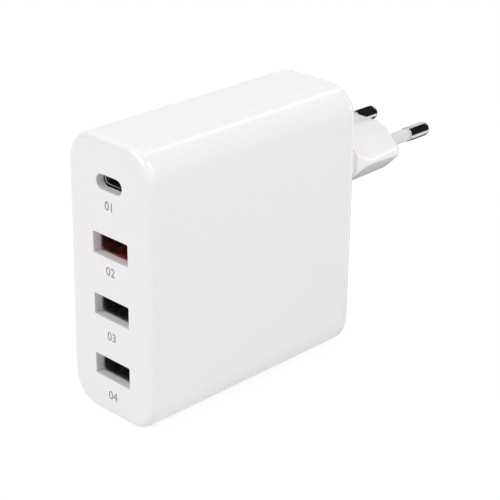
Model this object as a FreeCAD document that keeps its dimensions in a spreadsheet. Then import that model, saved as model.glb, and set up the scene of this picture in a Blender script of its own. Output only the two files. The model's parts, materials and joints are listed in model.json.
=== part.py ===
"""A wall charger with four USB sockets and a fixed two-pin mains plug.

Frame: millimetres, +Z up. The origin is the centre of the flat underside of the body.
X runs across the body's thickness, the sockets face -Y and the plug points along +Y.
"""
import FreeCAD
import Part
import Sketcher
import math
import os
import re

doc = FreeCAD.newDocument("usb_charger")

# Driving dimensions, in millimetres: alias, value, what it is.
SIZES = [
    # body mouldings
    ("body_thick", "30.4", "body across its broad sides"),
    ("body_depth", "71.5", "port face to rear face"),
    ("body_height", "74", "underside to top"),
    ("corner_radius", "8.6", "long edges of the body"),
    ("front_edge_radius", "2", "edge round the port face"),
    ("rear_edge_radius", "1.6", "edge round the rear face"),
    ("wall", "2.4", "side walls of the housing"),
    ("front_wall", "2.4", "port wall of the housing"),
    ("cover_thick", "2.2", "plate of the rear cover"),
    ("lip_wall", "1.2", "locating lip of the rear cover, wall"),
    ("lip_length", "3", "locating lip of the rear cover, reach into the housing"),
    ("fit_gap", "0.15", "clearance between mouldings that plug together"),
    ("rail_width", "1.1", "rails that hold the main board"),
    ("rail_depth", "2", "rails, height above the wall"),
    # port cut-outs
    ("port_bottom", "13.2", "lowest port centre above the underside"),
    ("port_top", "11.15", "highest port centre below the top"),
    ("a_cut_width", "12.5", "USB-A cut-out"),
    ("a_cut_height", "5.7", "USB-A cut-out"),
    ("c_cut_width", "9.2", "USB-C cut-out"),
    ("c_cut_height", "3.9", "USB-C cut-out"),
    ("cut_corner", "0.35", "corner of a USB-A cut-out"),
    # sockets
    ("socket_depth", "13.5", "socket mouth to port board"),
    ("mouth_gap", "0.2", "port wall to socket mouth"),
    ("shell_sheet", "0.3", "sheet metal of the socket shells"),
    ("part_fit", "0.05", "clearance between pressed socket parts"),
    ("leg_width", "1", "shell legs through the port board"),
    ("tail_reach", "1", "legs and contact tails past the port board"),
    ("hole_gap", "0.15", "board slot round a leg, tail or pin"),
    ("a_mouth_width", "12.5", "USB-A shell, inside"),
    ("a_mouth_height", "5.12", "USB-A shell, inside"),
    ("a_tongue_width", "11.1", "USB-A tongue"),
    ("a_tongue_thick", "1.84", "USB-A tongue"),
    ("a_tongue_rise", "0.98", "USB-A tongue centre above the mouth's centre"),
    ("a_set_back", "1.8", "mouth to USB-A tongue tip"),
    ("a_block_depth", "4", "USB-A insulator block at the board"),
    ("a_contact_width", "1", "USB-A contact"),
    ("a_contact_thick", "0.25", "USB-A contact"),
    ("a_contact_back", "0.8", "tongue tip to contact tip"),
    ("a_inner_pair", "2", "USB-A inner contacts, centre to centre"),
    ("a_outer_pair", "7", "USB-A outer contacts, centre to centre"),
    ("c_mouth_width", "8.34", "USB-C shell, inside"),
    ("c_mouth_height", "2.56", "USB-C shell, inside"),
    ("c_tongue_width", "6.7", "USB-C tongue"),
    ("c_tongue_thick", "0.7", "USB-C tongue"),
    ("c_set_back", "1.2", "mouth to USB-C tongue tip"),
    ("c_block_depth", "7", "USB-C insulator block at the board"),
    ("c_contact_width", "0.25", "USB-C contact"),
    ("c_contact_thick", "0.1", "USB-C contact"),
    ("c_contact_pitch", "0.5", "USB-C contacts, centre to centre"),
    ("c_contact_back", "0.3", "tongue tip to contact tip"),
    # plug
    ("plug_reach", "17", "rear face to the plug block's front"),
    ("plug_shoulder", "4.2", "rear face to the block's full width"),
    ("plug_width", "33.4", "plug block, point to point"),
    ("plug_inset", "0.8", "side of the body to the side of the block's root"),
    ("plug_front_height", "14", "plug block at its front"),
    ("plug_front_flat", "21", "flat top of the block at its front"),
    ("plug_front_side", "2", "blunt point of the block at its front"),
    ("plug_shoulder_side", "3", "blunt point of the block at its shoulder"),
    ("plug_root_height", "16", "plug block at its root"),
    ("plug_root_flat", "19.8", "flat top of the block at its root"),
    ("plug_root_side", "9", "side of the block at its root"),
    ("plug_edge_radius", "0.8", "edges of the plug block"),
    ("plug_front_wall", "5", "block wall that holds the pins"),
    ("plug_hollow_height", "8", "hollow of the plug block"),
    ("pin_drop", "21.3", "top of the body to the pin axes"),
    ("pin_spacing", "18.6", "pin axis to pin axis"),
    ("pin_radius", "2", "bare pin"),
    ("pin_length", "19.5", "pin past the plug block"),
    ("pin_tip_radius", "1.5", "round at the pin's tip"),
    ("pin_core_radius", "1.3", "pin under its sleeve"),
    ("sleeve_radius", "1.7", "insulating sleeve, outside"),
    ("sleeve_length", "11", "insulating sleeve"),
    ("shank_radius", "2.3", "pin in the block's wall"),
    ("collar_radius", "2.8", "pin collar behind the block's wall"),
    ("collar_thick", "1.5", "pin collar"),
    ("solder_tail_radius", "1.1", "pin tail that takes the lead"),
    ("solder_tail_length", "3", "pin tail that takes the lead"),
    ("lead_radius", "0.9", "insulated lead"),
    ("lead_bend", "0.35", "bend of a lead, as a share of its way to the board"),
    ("lead_inset", "2.5", "main board's rear edge to a lead"),
    # boards
    ("board_thick", "1.6", "both circuit boards"),
    ("board_gap", "0.1", "clearance of the main board in its rails"),
    ("board_step", "0.3", "tails on the port board to the main board"),
    ("board_edge_gap", "0.5", "board edges to the housing wall"),
    ("header_square", "0.64", "pins that join the boards"),
    ("header_pitch", "2.54", "pins that join the boards, centre to centre"),
    ("header_reach", "3", "pin length along the main board"),
    ("part_gap", "1.2", "room between parts on the main board"),
    ("seat_gap", "0.2", "round part to the board under it"),
    # transformer
    ("core_long", "20", "transformer core along the board"),
    ("core_tall", "22", "transformer core along its winding"),
    ("core_deep", "7", "transformer core, stack"),
    ("core_leg", "6", "transformer core, middle leg"),
    ("core_yoke", "3.5", "transformer core, yokes"),
    ("core_side", "3", "transformer core, outer legs"),
    ("bobbin_deep", "14.2", "bobbin flange off the board"),
    ("bobbin_wall", "0.8", "bobbin tube and flanges"),
    ("winding_inset", "0.5", "winding inside the bobbin flange"),
    ("winding_round", "2", "corners of the winding"),
    # capacitors, wound parts and packages
    ("bulk_1_radius", "6.25", "upright bulk capacitor"),
    ("bulk_1_length", "26", "upright bulk capacitor"),
    ("bulk_2_radius", "5", "level bulk capacitor"),
    ("bulk_2_length", "14", "level bulk capacitor"),
    ("output_radius", "4", "output capacitor"),
    ("output_length", "11.5", "output capacitor"),
    ("crimp_width", "1", "rolled groove of a capacitor can"),
    ("crimp_depth", "0.4", "rolled groove of a capacitor can"),
    ("crimp_height", "2.2", "rolled groove from the can's foot"),
    ("choke_radius", "5.5", "mains choke over its windings"),
    ("choke_thick", "6.5", "mains choke over its windings"),
    ("filter_radius", "5", "output filter over its winding"),
    ("filter_thick", "5", "output filter over its winding"),
    ("coil_build", "1", "wire layer on a ring core"),
    ("ring_hole", "1.5", "free hole of a wound ring"),
    ("y_cap_radius", "3.5", "disc capacitor"),
    ("y_cap_thick", "3.5", "disc capacitor"),
    ("x_cap_high", "11", "film capacitor"),
    ("x_cap_long", "13", "film capacitor"),
    ("x_cap_wide", "6", "film capacitor"),
    ("fuse_high", "7.7", "fuse"),
    ("fuse_long", "8.4", "fuse"),
    ("fuse_wide", "4", "fuse"),
    ("bridge_high", "11", "bridge rectifier"),
    ("bridge_long", "14", "bridge rectifier"),
    ("bridge_wide", "4", "bridge rectifier"),
    ("transistor_high", "4.2", "power transistor"),
    ("transistor_long", "10", "power transistor"),
    ("transistor_wide", "15", "power transistor"),
    ("spreader_thick", "0.9", "heat spreader plate"),
    ("spreader_long", "36", "heat spreader plate"),
    ("spreader_tall", "30", "heat spreader plate"),
    ("sheet_thick", "0.4", "insulation sheet"),
    ("sheet_long", "40", "insulation sheet"),
    ("sheet_tall", "36", "insulation sheet"),
    ("sheet_gap", "0.3", "insulation sheet to the housing wall"),
    ("opto_high", "3.4", "optocoupler"),
    ("opto_long", "4.6", "optocoupler"),
    ("opto_wide", "6.5", "optocoupler"),
    ("control_high", "1.6", "control chip"),
    ("control_long", "5", "control chip"),
    ("control_wide", "4", "control chip"),
    ("sync_high", "1.1", "rectifier chip"),
    ("sync_long", "6", "rectifier chip"),
    ("sync_wide", "5", "rectifier chip"),
    ("buck_side", "7", "inductor on the port board, square"),
    ("buck_high", "3.2", "inductor on the port board"),
    ("chip_side", "5", "controller on the port board, square"),
    ("chip_high", "0.9", "controller on the port board"),
    ("port_part_offset", "5", "parts on the port board from its middle line"),
]

# Places that follow from the driving dimensions.
LAYOUT = [
    ("rear_y", "body_depth / 2", "rear face"),
    ("front_y", "-body_depth / 2", "port face"),
    ("cover_y", "rear_y - cover_thick", "seam between housing and cover"),
    ("lip_y", "cover_y - lip_length", "end of the cover's lip"),
    ("inner_half", "body_thick / 2 - wall", "housing wall, inside"),
    ("inner_tall", "body_height - 2 * wall", "housing inside, upright"),
    ("inner_radius", "corner_radius - wall", "housing corner, inside"),
    ("rail_tall", "rail_depth + wall / 2", "rails, with their root in the wall"),
    ("port_pitch", "(body_height - port_bottom - port_top) / 3", "port to port"),
    ("mouth_y", "front_y + front_wall + mouth_gap", "socket mouths"),
    ("port_board_y", "mouth_y + socket_depth", "port board, front face"),
    ("main_front", "port_board_y + board_thick + tail_reach + board_step", "main board, front edge"),
    ("main_rear", "lip_y - board_edge_gap", "main board, rear edge"),
    ("back_space", "transistor_high + spreader_thick + sheet_thick + sheet_gap", "behind the main board"),
    ("solder_x", "back_space - inner_half", "main board, solder side"),
    ("board_x", "solder_x + board_thick", "main board, component side"),
    ("floor_z", "wall + rail_depth + part_gap", "lowest part on the main board"),
    ("roof_z", "body_height - wall - rail_depth - part_gap", "highest part on the main board"),
    ("rear_limit", "main_rear - 2 * lead_inset", "rearmost part on the main board"),
    ("a_tongue_low", "a_tongue_rise - a_tongue_thick / 2", "underside of a USB-A tongue"),
    ("tail_y", "socket_depth + board_thick + tail_reach", "ends of legs and contact tails"),
    ("plug_y", "rear_y + plug_reach", "front of the plug block"),
    ("plug_root_y", "rear_y - rear_edge_radius", "root of the plug block"),
    ("plug_shoulder_y", "rear_y + plug_shoulder", "shoulder of the plug block"),
    ("plug_share", "(plug_shoulder_y - plug_root_y) / (plug_y - plug_root_y)", "shoulder along the block"),
    ("plug_shoulder_height", "plug_root_height + plug_share * (plug_front_height - plug_root_height)",
     "plug block at its shoulder"),
    ("plug_shoulder_flat", "plug_root_flat + plug_share * (plug_front_flat - plug_root_flat)",
     "flat top of the block at its shoulder"),
    ("plug_root_width", "body_thick - 2 * plug_inset", "plug block at its root"),
    ("pin_z", "body_height - pin_drop", "pin axes"),
    ("pin_tail_y", "plug_front_wall + collar_thick + solder_tail_length",
     "pin tail behind the block's front"),
    ("window_long", "(core_long - core_leg) / 2 - core_side", "transformer window"),
    ("window_tall", "core_tall - 2 * core_yoke", "transformer window"),
    ("core_end_y", "main_front + part_gap + core_long", "transformer, rear side"),
    ("core_y", "core_end_y - core_long / 2", "transformer, middle"),
    ("core_z", "floor_z + core_tall / 2", "transformer, middle"),
    ("back_y", "(main_front + main_rear) / 2", "parts behind the main board, middle"),
    ("back_z", "wall + corner_radius + sheet_tall / 2", "parts behind the main board, middle"),
    ("x_cap_roof", "roof_z - fuse_wide - part_gap", "film capacitor, upper side"),
    ("bridge_roof", "x_cap_roof - x_cap_wide - part_gap", "bridge rectifier, upper side"),
    ("output_y", "main_front + part_gap + output_radius", "output capacitors, axes"),
    ("filter_y", "output_y + output_radius + part_gap + filter_radius", "output filter, axis"),
    ("board_tall", "inner_tall - 2 * board_edge_gap", "both boards, upright"),
    ("header_x", "board_x + header_square / 2", "pins that join the boards"),
]

PORT_NAMES = ["usb_a_3", "usb_a_2", "usb_a_1", "usb_c"]
C_CONTACTS = 12
HEADER_PINS = 4
CHOKE_SPAN = 140
FILTER_SPAN = 320
CLOSE = 1e-4
HOME = {}


def fill_sheet(name, rows):
    """Put one row per value in a sheet and give its cell an alias."""
    sheet = doc.addObject("Spreadsheet::Sheet", name)
    for alias, text, note in rows:
        row = str(len([key for key in HOME if HOME[key] == name]) + 1)
        sheet.set("A" + row, note)
        plain = re.fullmatch(r"[0-9.]+", text)
        sheet.set("B" + row, text if plain else "=" + named(text))
        sheet.setAlias("B" + row, alias)
        HOME[alias] = name
    doc.recompute()
    return sheet


def named(text):
    """Give each alias in an expression the name of its sheet."""
    def full(match):
        word = match.group()
        return HOME[word] + "." + word if word in HOME else word
    return re.sub(r"[a-z][a-z0-9_]*", full, str(text))


def value(text):
    """The present value of an expression."""
    return float(sizes.evalExpression(named(text)))


def bind(thing, **expressions):
    """Bind properties of an object to expressions."""
    for key, text in expressions.items():
        thing.setExpression(key, named(text))


def place(thing, x="0", y="0", z="0"):
    """Bind an object's place."""
    for axis, text in zip("xyz", (x, y, z)):
        thing.setExpression("Placement.Base." + axis, named(text))


def new_body(label):
    body = doc.addObject("PartDesign::Body", label)
    body.Label = label
    return body


def new_sketch(body, role, offset="0"):
    """A sketch on one of the body's own planes, moved along +X, +Y or +Z by offset."""
    sketch = body.newObject("Sketcher::SketchObject", body.Name + "_sketch")
    plane = [item for item in body.Origin.OriginFeatures if item.Role == role][0]
    sketch.AttachmentSupport = (plane, [""])
    sketch.MapMode = "FlatFace"
    sign = "-" if role == "XZ_Plane" else ""
    sketch.setExpression("AttachmentOffset.Base.z", named(f"{sign}({offset})"))
    return sketch


def pin_down(sketch, geometry, point, across, up):
    """Fix one point of a sketch's geometry to two expressions."""
    for kind, text in (("DistanceX", across), ("DistanceY", up)):
        rule = Sketcher.Constraint(kind, -1, 1, geometry, point, value(text))
        index = sketch.addConstraint(rule)
        sketch.setExpression(f"Constraints[{index}]", named(text))


def polygon(sketch, corners):
    """A closed outline of straight lines; each corner is a pair of expressions."""
    first = sketch.GeometryCount
    count = len(corners)
    spots = [FreeCAD.Vector(value(across), value(up), 0) for across, up in corners]
    for index in range(count):
        line = Part.LineSegment(spots[index], spots[(index + 1) % count])
        sketch.addGeometry(line, False)
    for index in range(count):
        follower = first + (index + 1) % count
        sketch.addConstraint(Sketcher.Constraint("Coincident", first + index, 2, follower, 1))
    for index, (across, up) in enumerate(corners):
        pin_down(sketch, first + index, 1, across, up)


def rectangle(sketch, width, height, across="0", up="0"):
    """A rectangle about the point (across, up)."""
    sides = ((-1, -1), (1, -1), (1, 1), (-1, 1))
    corners = []
    for right, top in sides:
        corners.append((f"{across} + {right} * ({width}) / 2", f"{up} + {top} * ({height}) / 2"))
    polygon(sketch, corners)


def rounded(sketch, width, height, radius, across="0", up="0"):
    """A rectangle with round corners about the point (across, up)."""
    first = sketch.GeometryCount
    bend = value(radius)
    quarter = math.pi / 2
    turns = ((1, -1), (1, 1), (-1, 1), (-1, -1))
    places = []
    for right, top in turns:
        places.append((f"{across} + {right} * (({width}) / 2 - ({radius}))",
                       f"{up} + {top} * (({height}) / 2 - ({radius}))"))
    centres = [FreeCAD.Vector(value(x), value(y), 0) for x, y in places]
    for corner, centre in enumerate(centres):
        ring = Part.Circle(centre, FreeCAD.Vector(0, 0, 1), bend)
        start = (corner - 1) * quarter
        sketch.addGeometry(Part.ArcOfCircle(ring, start, start + quarter), False)
    for corner in range(4):
        ahead = (corner + 1) % 4
        out = FreeCAD.Vector(math.cos(corner * quarter), math.sin(corner * quarter), 0) * bend
        sketch.addGeometry(Part.LineSegment(centres[corner] + out, centres[ahead] + out), False)
    for corner in range(4):
        line = first + 4 + corner
        ahead = first + (corner + 1) % 4
        sketch.addConstraint(Sketcher.Constraint("Tangent", first + corner, 2, line, 1))
        sketch.addConstraint(Sketcher.Constraint("Tangent", line, 2, ahead, 1))
    pin_down(sketch, first, 3, *places[0])
    pin_down(sketch, first + 2, 3, *places[2])
    index = sketch.addConstraint(Sketcher.Constraint("Radius", first, bend))
    sketch.setExpression(f"Constraints[{index}]", named(radius))
    for corner in (1, 2, 3):
        sketch.addConstraint(Sketcher.Constraint("Equal", first, first + corner))
    for corner, kind in ((0, "Vertical"), (1, "Horizontal")):
        sketch.addConstraint(Sketcher.Constraint(kind, first + 4 + corner))


def slot(sketch, width, height, across="0", up="0"):
    """A slot with half-round ends about the point (across, up)."""
    first = sketch.GeometryCount
    reach = value(f"({width} - {height}) / 2")
    radius = value(f"{height} / 2")
    middle = FreeCAD.Vector(value(across), value(up), 0)
    quarter = math.pi / 2
    for side, start in ((1, -quarter), (-1, quarter)):
        centre = middle + FreeCAD.Vector(side * reach, 0, 0)
        ring = Part.Circle(centre, FreeCAD.Vector(0, 0, 1), radius)
        sketch.addGeometry(Part.ArcOfCircle(ring, start, start + 2 * quarter), False)
    for side in (1, -1):
        start = middle + FreeCAD.Vector(side * reach, side * radius, 0)
        end = middle + FreeCAD.Vector(-side * reach, side * radius, 0)
        sketch.addGeometry(Part.LineSegment(start, end), False)
    right, left, top, low = range(first, first + 4)
    for one, other in ((right, top), (top, left), (left, low), (low, right)):
        sketch.addConstraint(Sketcher.Constraint("Tangent", one, 2, other, 1))
    pin_down(sketch, right, 3, f"{across} + ({width} - {height}) / 2", up)
    pin_down(sketch, left, 3, f"{across} - ({width} - {height}) / 2", up)
    index = sketch.addConstraint(Sketcher.Constraint("Radius", right, radius))
    sketch.setExpression(f"Constraints[{index}]", named(f"({height}) / 2"))


def circle(sketch, radius, across="0", up="0"):
    first = sketch.GeometryCount
    middle = FreeCAD.Vector(value(across), value(up), 0)
    sketch.addGeometry(Part.Circle(middle, FreeCAD.Vector(0, 0, 1), value(radius)), False)
    pin_down(sketch, first, 3, across, up)
    index = sketch.addConstraint(Sketcher.Constraint("Radius", first, value(radius)))
    sketch.setExpression(f"Constraints[{index}]", named(radius))


def grow(sketch, length, forward=True):
    """Pad a sketch towards +X, +Y or +Z, or the other way."""
    body = sketch.getParentGeoFeatureGroup()
    pad = body.newObject("PartDesign::Pad", body.Name + "_pad")
    pad.Profile = sketch
    bind(pad, Length=length)
    flipped = sketch.AttachmentSupport[0][0].Role == "XZ_Plane"
    pad.Reversed = forward if flipped else not forward
    return pad


def sink(sketch, length, forward=True):
    """Pocket a sketch towards +X, +Y or +Z, or the other way, and see that it cuts."""
    body = sketch.getParentGeoFeatureGroup()
    doc.recompute()
    before = body.Tip.Shape.Volume
    pocket = body.newObject("PartDesign::Pocket", body.Name + "_pocket")
    pocket.Profile = sketch
    bind(pocket, Length=length)
    flipped = sketch.AttachmentSupport[0][0].Role == "XZ_Plane"
    pocket.Reversed = not forward if flipped else forward
    doc.recompute()
    if pocket.Shape.Volume >= before:
        raise RuntimeError(pocket.Name + " cuts nothing")
    return pocket


def turn(sketch, axis, angle=360):
    """Revolve a sketch about its own H_Axis or V_Axis."""
    body = sketch.getParentGeoFeatureGroup()
    turned = body.newObject("PartDesign::Revolution", body.Name + "_turned")
    turned.Profile = sketch
    turned.ReferenceAxis = (sketch, [axis])
    turned.Angle = angle
    return turned


def round_off(body, radius, keep):
    """Fillet the edges of a body that keep() picks."""
    doc.recompute()
    base = body.Tip
    names = []
    for number, edge in enumerate(base.Shape.Edges, start=1):
        if keep(edge):
            names.append(f"Edge{number}")
    fillet = body.newObject("PartDesign::Fillet", body.Name + "_round")
    fillet.Base = (base, names)
    bind(fillet, Radius=radius)
    doc.recompute()
    return fillet


def near(one, other):
    return abs(one - other) < CLOSE


def flat_at(edge, axis, where):
    """True for an edge that lies in a plane across one of the frame's axes."""
    box = edge.BoundBox
    low = getattr(box, axis.upper() + "Min")
    high = getattr(box, axis.upper() + "Max")
    return near(low, value(where)) and near(high, value(where))


def port_z(index):
    return f"port_bottom + {index} * port_pitch"


def main_housing():
    """Port wall and side walls in one moulding, open at the rear."""
    body = new_body("main_housing")
    outline = new_sketch(body, "XZ_Plane", "front_y")
    rounded(outline, "body_thick", "body_height", "corner_radius", "0", "body_height / 2")
    grow(outline, "body_depth - cover_thick")
    round_off(body, "front_edge_radius", lambda edge: flat_at(edge, "y", "front_y"))
    cavity = new_sketch(body, "XZ_Plane", "cover_y")
    rounded(cavity, "2 * inner_half", "inner_tall", "inner_radius", "0", "body_height / 2")
    sink(cavity, "body_depth - cover_thick - front_wall", forward=False)
    cuts = new_sketch(body, "XZ_Plane", "front_y")
    for index in range(3):
        rounded(cuts, "a_cut_width", "a_cut_height", "cut_corner", "0", port_z(index))
    slot(cuts, "c_cut_width", "c_cut_height", "0", port_z(3))
    sink(cuts, "front_wall")
    rails = new_sketch(body, "XZ_Plane", "main_front")
    for across in ("solder_x - board_gap - rail_width / 2", "board_x + board_gap + rail_width / 2"):
        for up in ("wall / 2 + rail_tall / 2", "body_height - wall / 2 - rail_tall / 2"):
            rectangle(rails, "rail_width", "rail_tall", across, up)
    grow(rails, "lip_y - fit_gap - main_front")
    return body


def rear_cover():
    """Rear plate, locating lip and hollow plug block in one moulding."""
    body = new_body("rear_cover")
    middle = ("0", "body_height / 2")
    plate = new_sketch(body, "XZ_Plane", "cover_y")
    rounded(plate, "body_thick", "body_height", "corner_radius", *middle)
    grow(plate, "cover_thick")
    round_off(body, "rear_edge_radius", lambda edge: flat_at(edge, "y", "rear_y"))
    lip = new_sketch(body, "XZ_Plane", "cover_y")
    for inset in ("fit_gap", "(fit_gap + lip_wall)"):
        rounded(lip, f"2 * inner_half - 2 * {inset}", f"inner_tall - 2 * {inset}",
                f"inner_radius - {inset}", *middle)
    grow(lip, "lip_length", forward=False)
    plug_block(body)
    hollow = new_sketch(body, "XZ_Plane", "cover_y")
    rectangle(hollow, "pin_spacing", "plug_hollow_height", "0", "pin_z")
    sink(hollow, "plug_y - plug_front_wall - cover_y")
    pin_wells = new_sketch(body, "XZ_Plane", "cover_y")
    pin_holes = new_sketch(body, "XZ_Plane", "plug_y")
    for side in (-1, 1):
        circle(pin_wells, "collar_radius + fit_gap", f"{side} * pin_spacing / 2", "pin_z")
        circle(pin_holes, "shank_radius + part_fit", f"{side} * pin_spacing / 2", "pin_z")
    sink(pin_wells, "plug_y - plug_front_wall - cover_y")
    sink(pin_holes, "plug_front_wall", forward=False)
    return body


def plug_block(body):
    """The lozenge that goes into a wall socket; its sides draw in to the body behind the shoulder."""
    ends = [("root", "plug_root_y", "plug_root_width"),
            ("shoulder", "plug_shoulder_y", "plug_width"),
            ("front", "plug_y", "plug_width")]
    sections = []
    for end, where, width in ends:
        section = new_sketch(body, "XZ_Plane", where)
        quarter = [(f"plug_{end}_flat / 2", f"plug_{end}_height / 2"),
                   (f"{width} / 2", f"plug_{end}_side / 2")]
        corners = [(x, f"pin_z + {z}") for x, z in quarter]
        corners += [(x, f"pin_z - {z}") for x, z in reversed(quarter)]
        corners += [(f"-{x}", f"pin_z - {z}") for x, z in quarter]
        corners += [(f"-{x}", f"pin_z + {z}") for x, z in reversed(quarter)]
        polygon(section, corners)
        sections.append(section)
    block = body.newObject("PartDesign::AdditiveLoft", "plug_block")
    block.Profile = sections[0]
    block.Sections = sections[1:]
    block.Ruled = True
    round_off(body, "plug_edge_radius", lambda edge: edge.BoundBox.YMax > value("rear_y") + CLOSE)


def mains_pin(name, side):
    """One plug pin: tail, collar and shank in the block, slim core under the sleeve, bare end."""
    body = new_body(name)
    profile = new_sketch(body, "XY_Plane")
    collar_y = "-(plug_front_wall + collar_thick)"
    steps = [("0", "-pin_tail_y"), ("solder_tail_radius", "-pin_tail_y"),
             ("solder_tail_radius", collar_y), ("collar_radius", collar_y),
             ("collar_radius", "-plug_front_wall"), ("shank_radius", "-plug_front_wall"),
             ("shank_radius", "0"), ("pin_core_radius", "0"),
             ("pin_core_radius", "sleeve_length"), ("pin_radius", "sleeve_length"),
             ("pin_radius", "pin_length"), ("0", "pin_length")]
    polygon(profile, steps)
    turn(profile, "V_Axis")
    round_off(body, "pin_tip_radius", lambda edge: flat_at(edge, "y", "pin_length"))
    place(body, f"{side} * pin_spacing / 2", "plug_y", "pin_z")
    return body


def pin_sleeve(name, side):
    body = new_body(name)
    profile = new_sketch(body, "XY_Plane")
    bore = "pin_core_radius + part_fit"
    polygon(profile, [(bore, "0"), ("sleeve_radius", "0"),
                      ("sleeve_radius", "sleeve_length"), (bore, "sleeve_length")])
    turn(profile, "V_Axis")
    place(body, f"{side} * pin_spacing / 2", "plug_y", "pin_z")
    return body


def mains_lead(name, side):
    """Insulated wire from a pin's tail to the face of the main board on that side."""
    height = value("pin_z")
    start = FreeCAD.Vector(side * value("pin_spacing / 2"), value("plug_y - pin_tail_y"), height)
    face = value("board_x") if side > 0 else value("solder_x")
    end = FreeCAD.Vector(face, value("main_rear - lead_inset"), height)
    corner = FreeCAD.Vector(start.x, end.y, height)
    sideways = (end - corner).normalize()
    bend = value("lead_bend") * (end - corner).Length
    back = FreeCAD.Vector(0, bend, 0)
    centre = corner + back + sideways * bend
    middle = centre - (back + sideways * bend).normalize() * bend
    path = Part.Wire([Part.LineSegment(start, corner + back).toShape(),
                      Part.Arc(corner + back, middle, corner + sideways * bend).toShape(),
                      Part.LineSegment(corner + sideways * bend, end).toShape()])
    ring = Part.Circle(start, FreeCAD.Vector(0, 1, 0), value("lead_radius")).toShape()
    lead = doc.addObject("Part::Feature", name)
    lead.Label = name
    lead.Shape = path.makePipeShell([Part.Wire([ring])], True, False)
    return lead


def a_contact_places():
    return ["-a_outer_pair / 2", "-a_inner_pair / 2", "a_inner_pair / 2", "a_outer_pair / 2"]


def usb_a_shell(name, index):
    """Folded sheet tube with two legs that go through the port board."""
    body = new_body(name + "_shell")
    tube = new_sketch(body, "XZ_Plane")
    rectangle(tube, "a_mouth_width + 2 * shell_sheet", "a_mouth_height + 2 * shell_sheet")
    rectangle(tube, "a_mouth_width", "a_mouth_height")
    grow(tube, "socket_depth")
    legs = new_sketch(body, "XZ_Plane", "socket_depth")
    for side in (-1, 1):
        rectangle(legs, "shell_sheet", "leg_width", f"{side} * (a_mouth_width + shell_sheet) / 2")
    grow(legs, "tail_y - socket_depth")
    place(body, "0", "mouth_y", port_z(index))
    return body


def usb_a_insulator(name, index):
    """Moulded block with the tongue that carries the contacts."""
    body = new_body(name + "_insulator")
    block = new_sketch(body, "XZ_Plane", "socket_depth - a_block_depth")
    rectangle(block, "a_mouth_width - 2 * part_fit", "a_mouth_height - 2 * part_fit")
    grow(block, "a_block_depth")
    tongue = new_sketch(body, "XZ_Plane", "a_set_back")
    rectangle(tongue, "a_tongue_width", "a_tongue_thick", "0", "a_tongue_rise")
    grow(tongue, "socket_depth - a_block_depth - a_set_back")
    channels = new_sketch(body, "XZ_Plane", "socket_depth - a_block_depth")
    deep = "a_contact_thick + part_fit"
    for across in a_contact_places():
        rectangle(channels, "a_contact_width + 2 * part_fit", deep, across,
                  f"a_tongue_low - ({deep}) / 2")
    sink(channels, "a_block_depth")
    place(body, "0", "mouth_y", port_z(index))
    return body


def usb_a_contacts(name, index):
    """Four flat contacts under the tongue, with tails through the port board."""
    strips = []
    for across in a_contact_places():
        strip = doc.addObject("Part::Box", name + "_contact")
        bind(strip, Length="a_contact_width", Height="a_contact_thick",
             Width="tail_y - a_set_back - a_contact_back")
        place(strip, f"{across} - a_contact_width / 2", "mouth_y + a_set_back + a_contact_back",
              f"{port_z(index)} + a_tongue_low - a_contact_thick")
        strips.append(strip)
    return group(name + "_contacts", strips)


def group(name, items):
    """Several separate solids in one node."""
    bundle = doc.addObject("Part::Compound", name)
    bundle.Label = name
    bundle.Links = items
    return bundle


def usb_c_shell(index):
    body = new_body("usb_c_shell")
    tube = new_sketch(body, "XZ_Plane")
    slot(tube, "(c_mouth_width + 2 * shell_sheet)", "(c_mouth_height + 2 * shell_sheet)")
    slot(tube, "c_mouth_width", "c_mouth_height")
    grow(tube, "socket_depth")
    legs = new_sketch(body, "XZ_Plane", "socket_depth")
    for side in (-1, 1):
        rectangle(legs, "shell_sheet", "leg_width", f"{side} * (c_mouth_width + shell_sheet) / 2")
    grow(legs, "tail_y - socket_depth")
    place(body, "0", "mouth_y", port_z(index))
    return body


def usb_c_insulator(index):
    body = new_body("usb_c_insulator")
    block = new_sketch(body, "XZ_Plane", "socket_depth - c_block_depth")
    slot(block, "(c_mouth_width - 2 * part_fit)", "(c_mouth_height - 2 * part_fit)")
    grow(block, "c_block_depth")
    tongue = new_sketch(body, "XZ_Plane", "c_set_back")
    rectangle(tongue, "c_tongue_width", "c_tongue_thick")
    grow(tongue, "socket_depth - c_block_depth - c_set_back")
    place(body, "0", "mouth_y", port_z(index))
    return body


def usb_c_contacts(index):
    """Rows of fine contacts on both faces of the middle tongue."""
    strips = []
    for face in ("c_tongue_thick / 2", "-c_tongue_thick / 2 - c_contact_thick"):
        for number in range(C_CONTACTS):
            step = number - (C_CONTACTS - 1) / 2
            strip = doc.addObject("Part::Box", "usb_c_contact")
            bind(strip, Length="c_contact_width", Height="c_contact_thick",
                 Width="socket_depth - c_block_depth - c_set_back - c_contact_back")
            place(strip, f"{step} * c_contact_pitch - c_contact_width / 2",
                  "mouth_y + c_set_back + c_contact_back", f"{port_z(index)} + {face}")
            strips.append(strip)
    return group("usb_c_contacts", strips)


def header_z(number):
    step = number - (HEADER_PINS - 1) / 2
    return f"{port_z(1.5)} + {step} * header_pitch"


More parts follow.
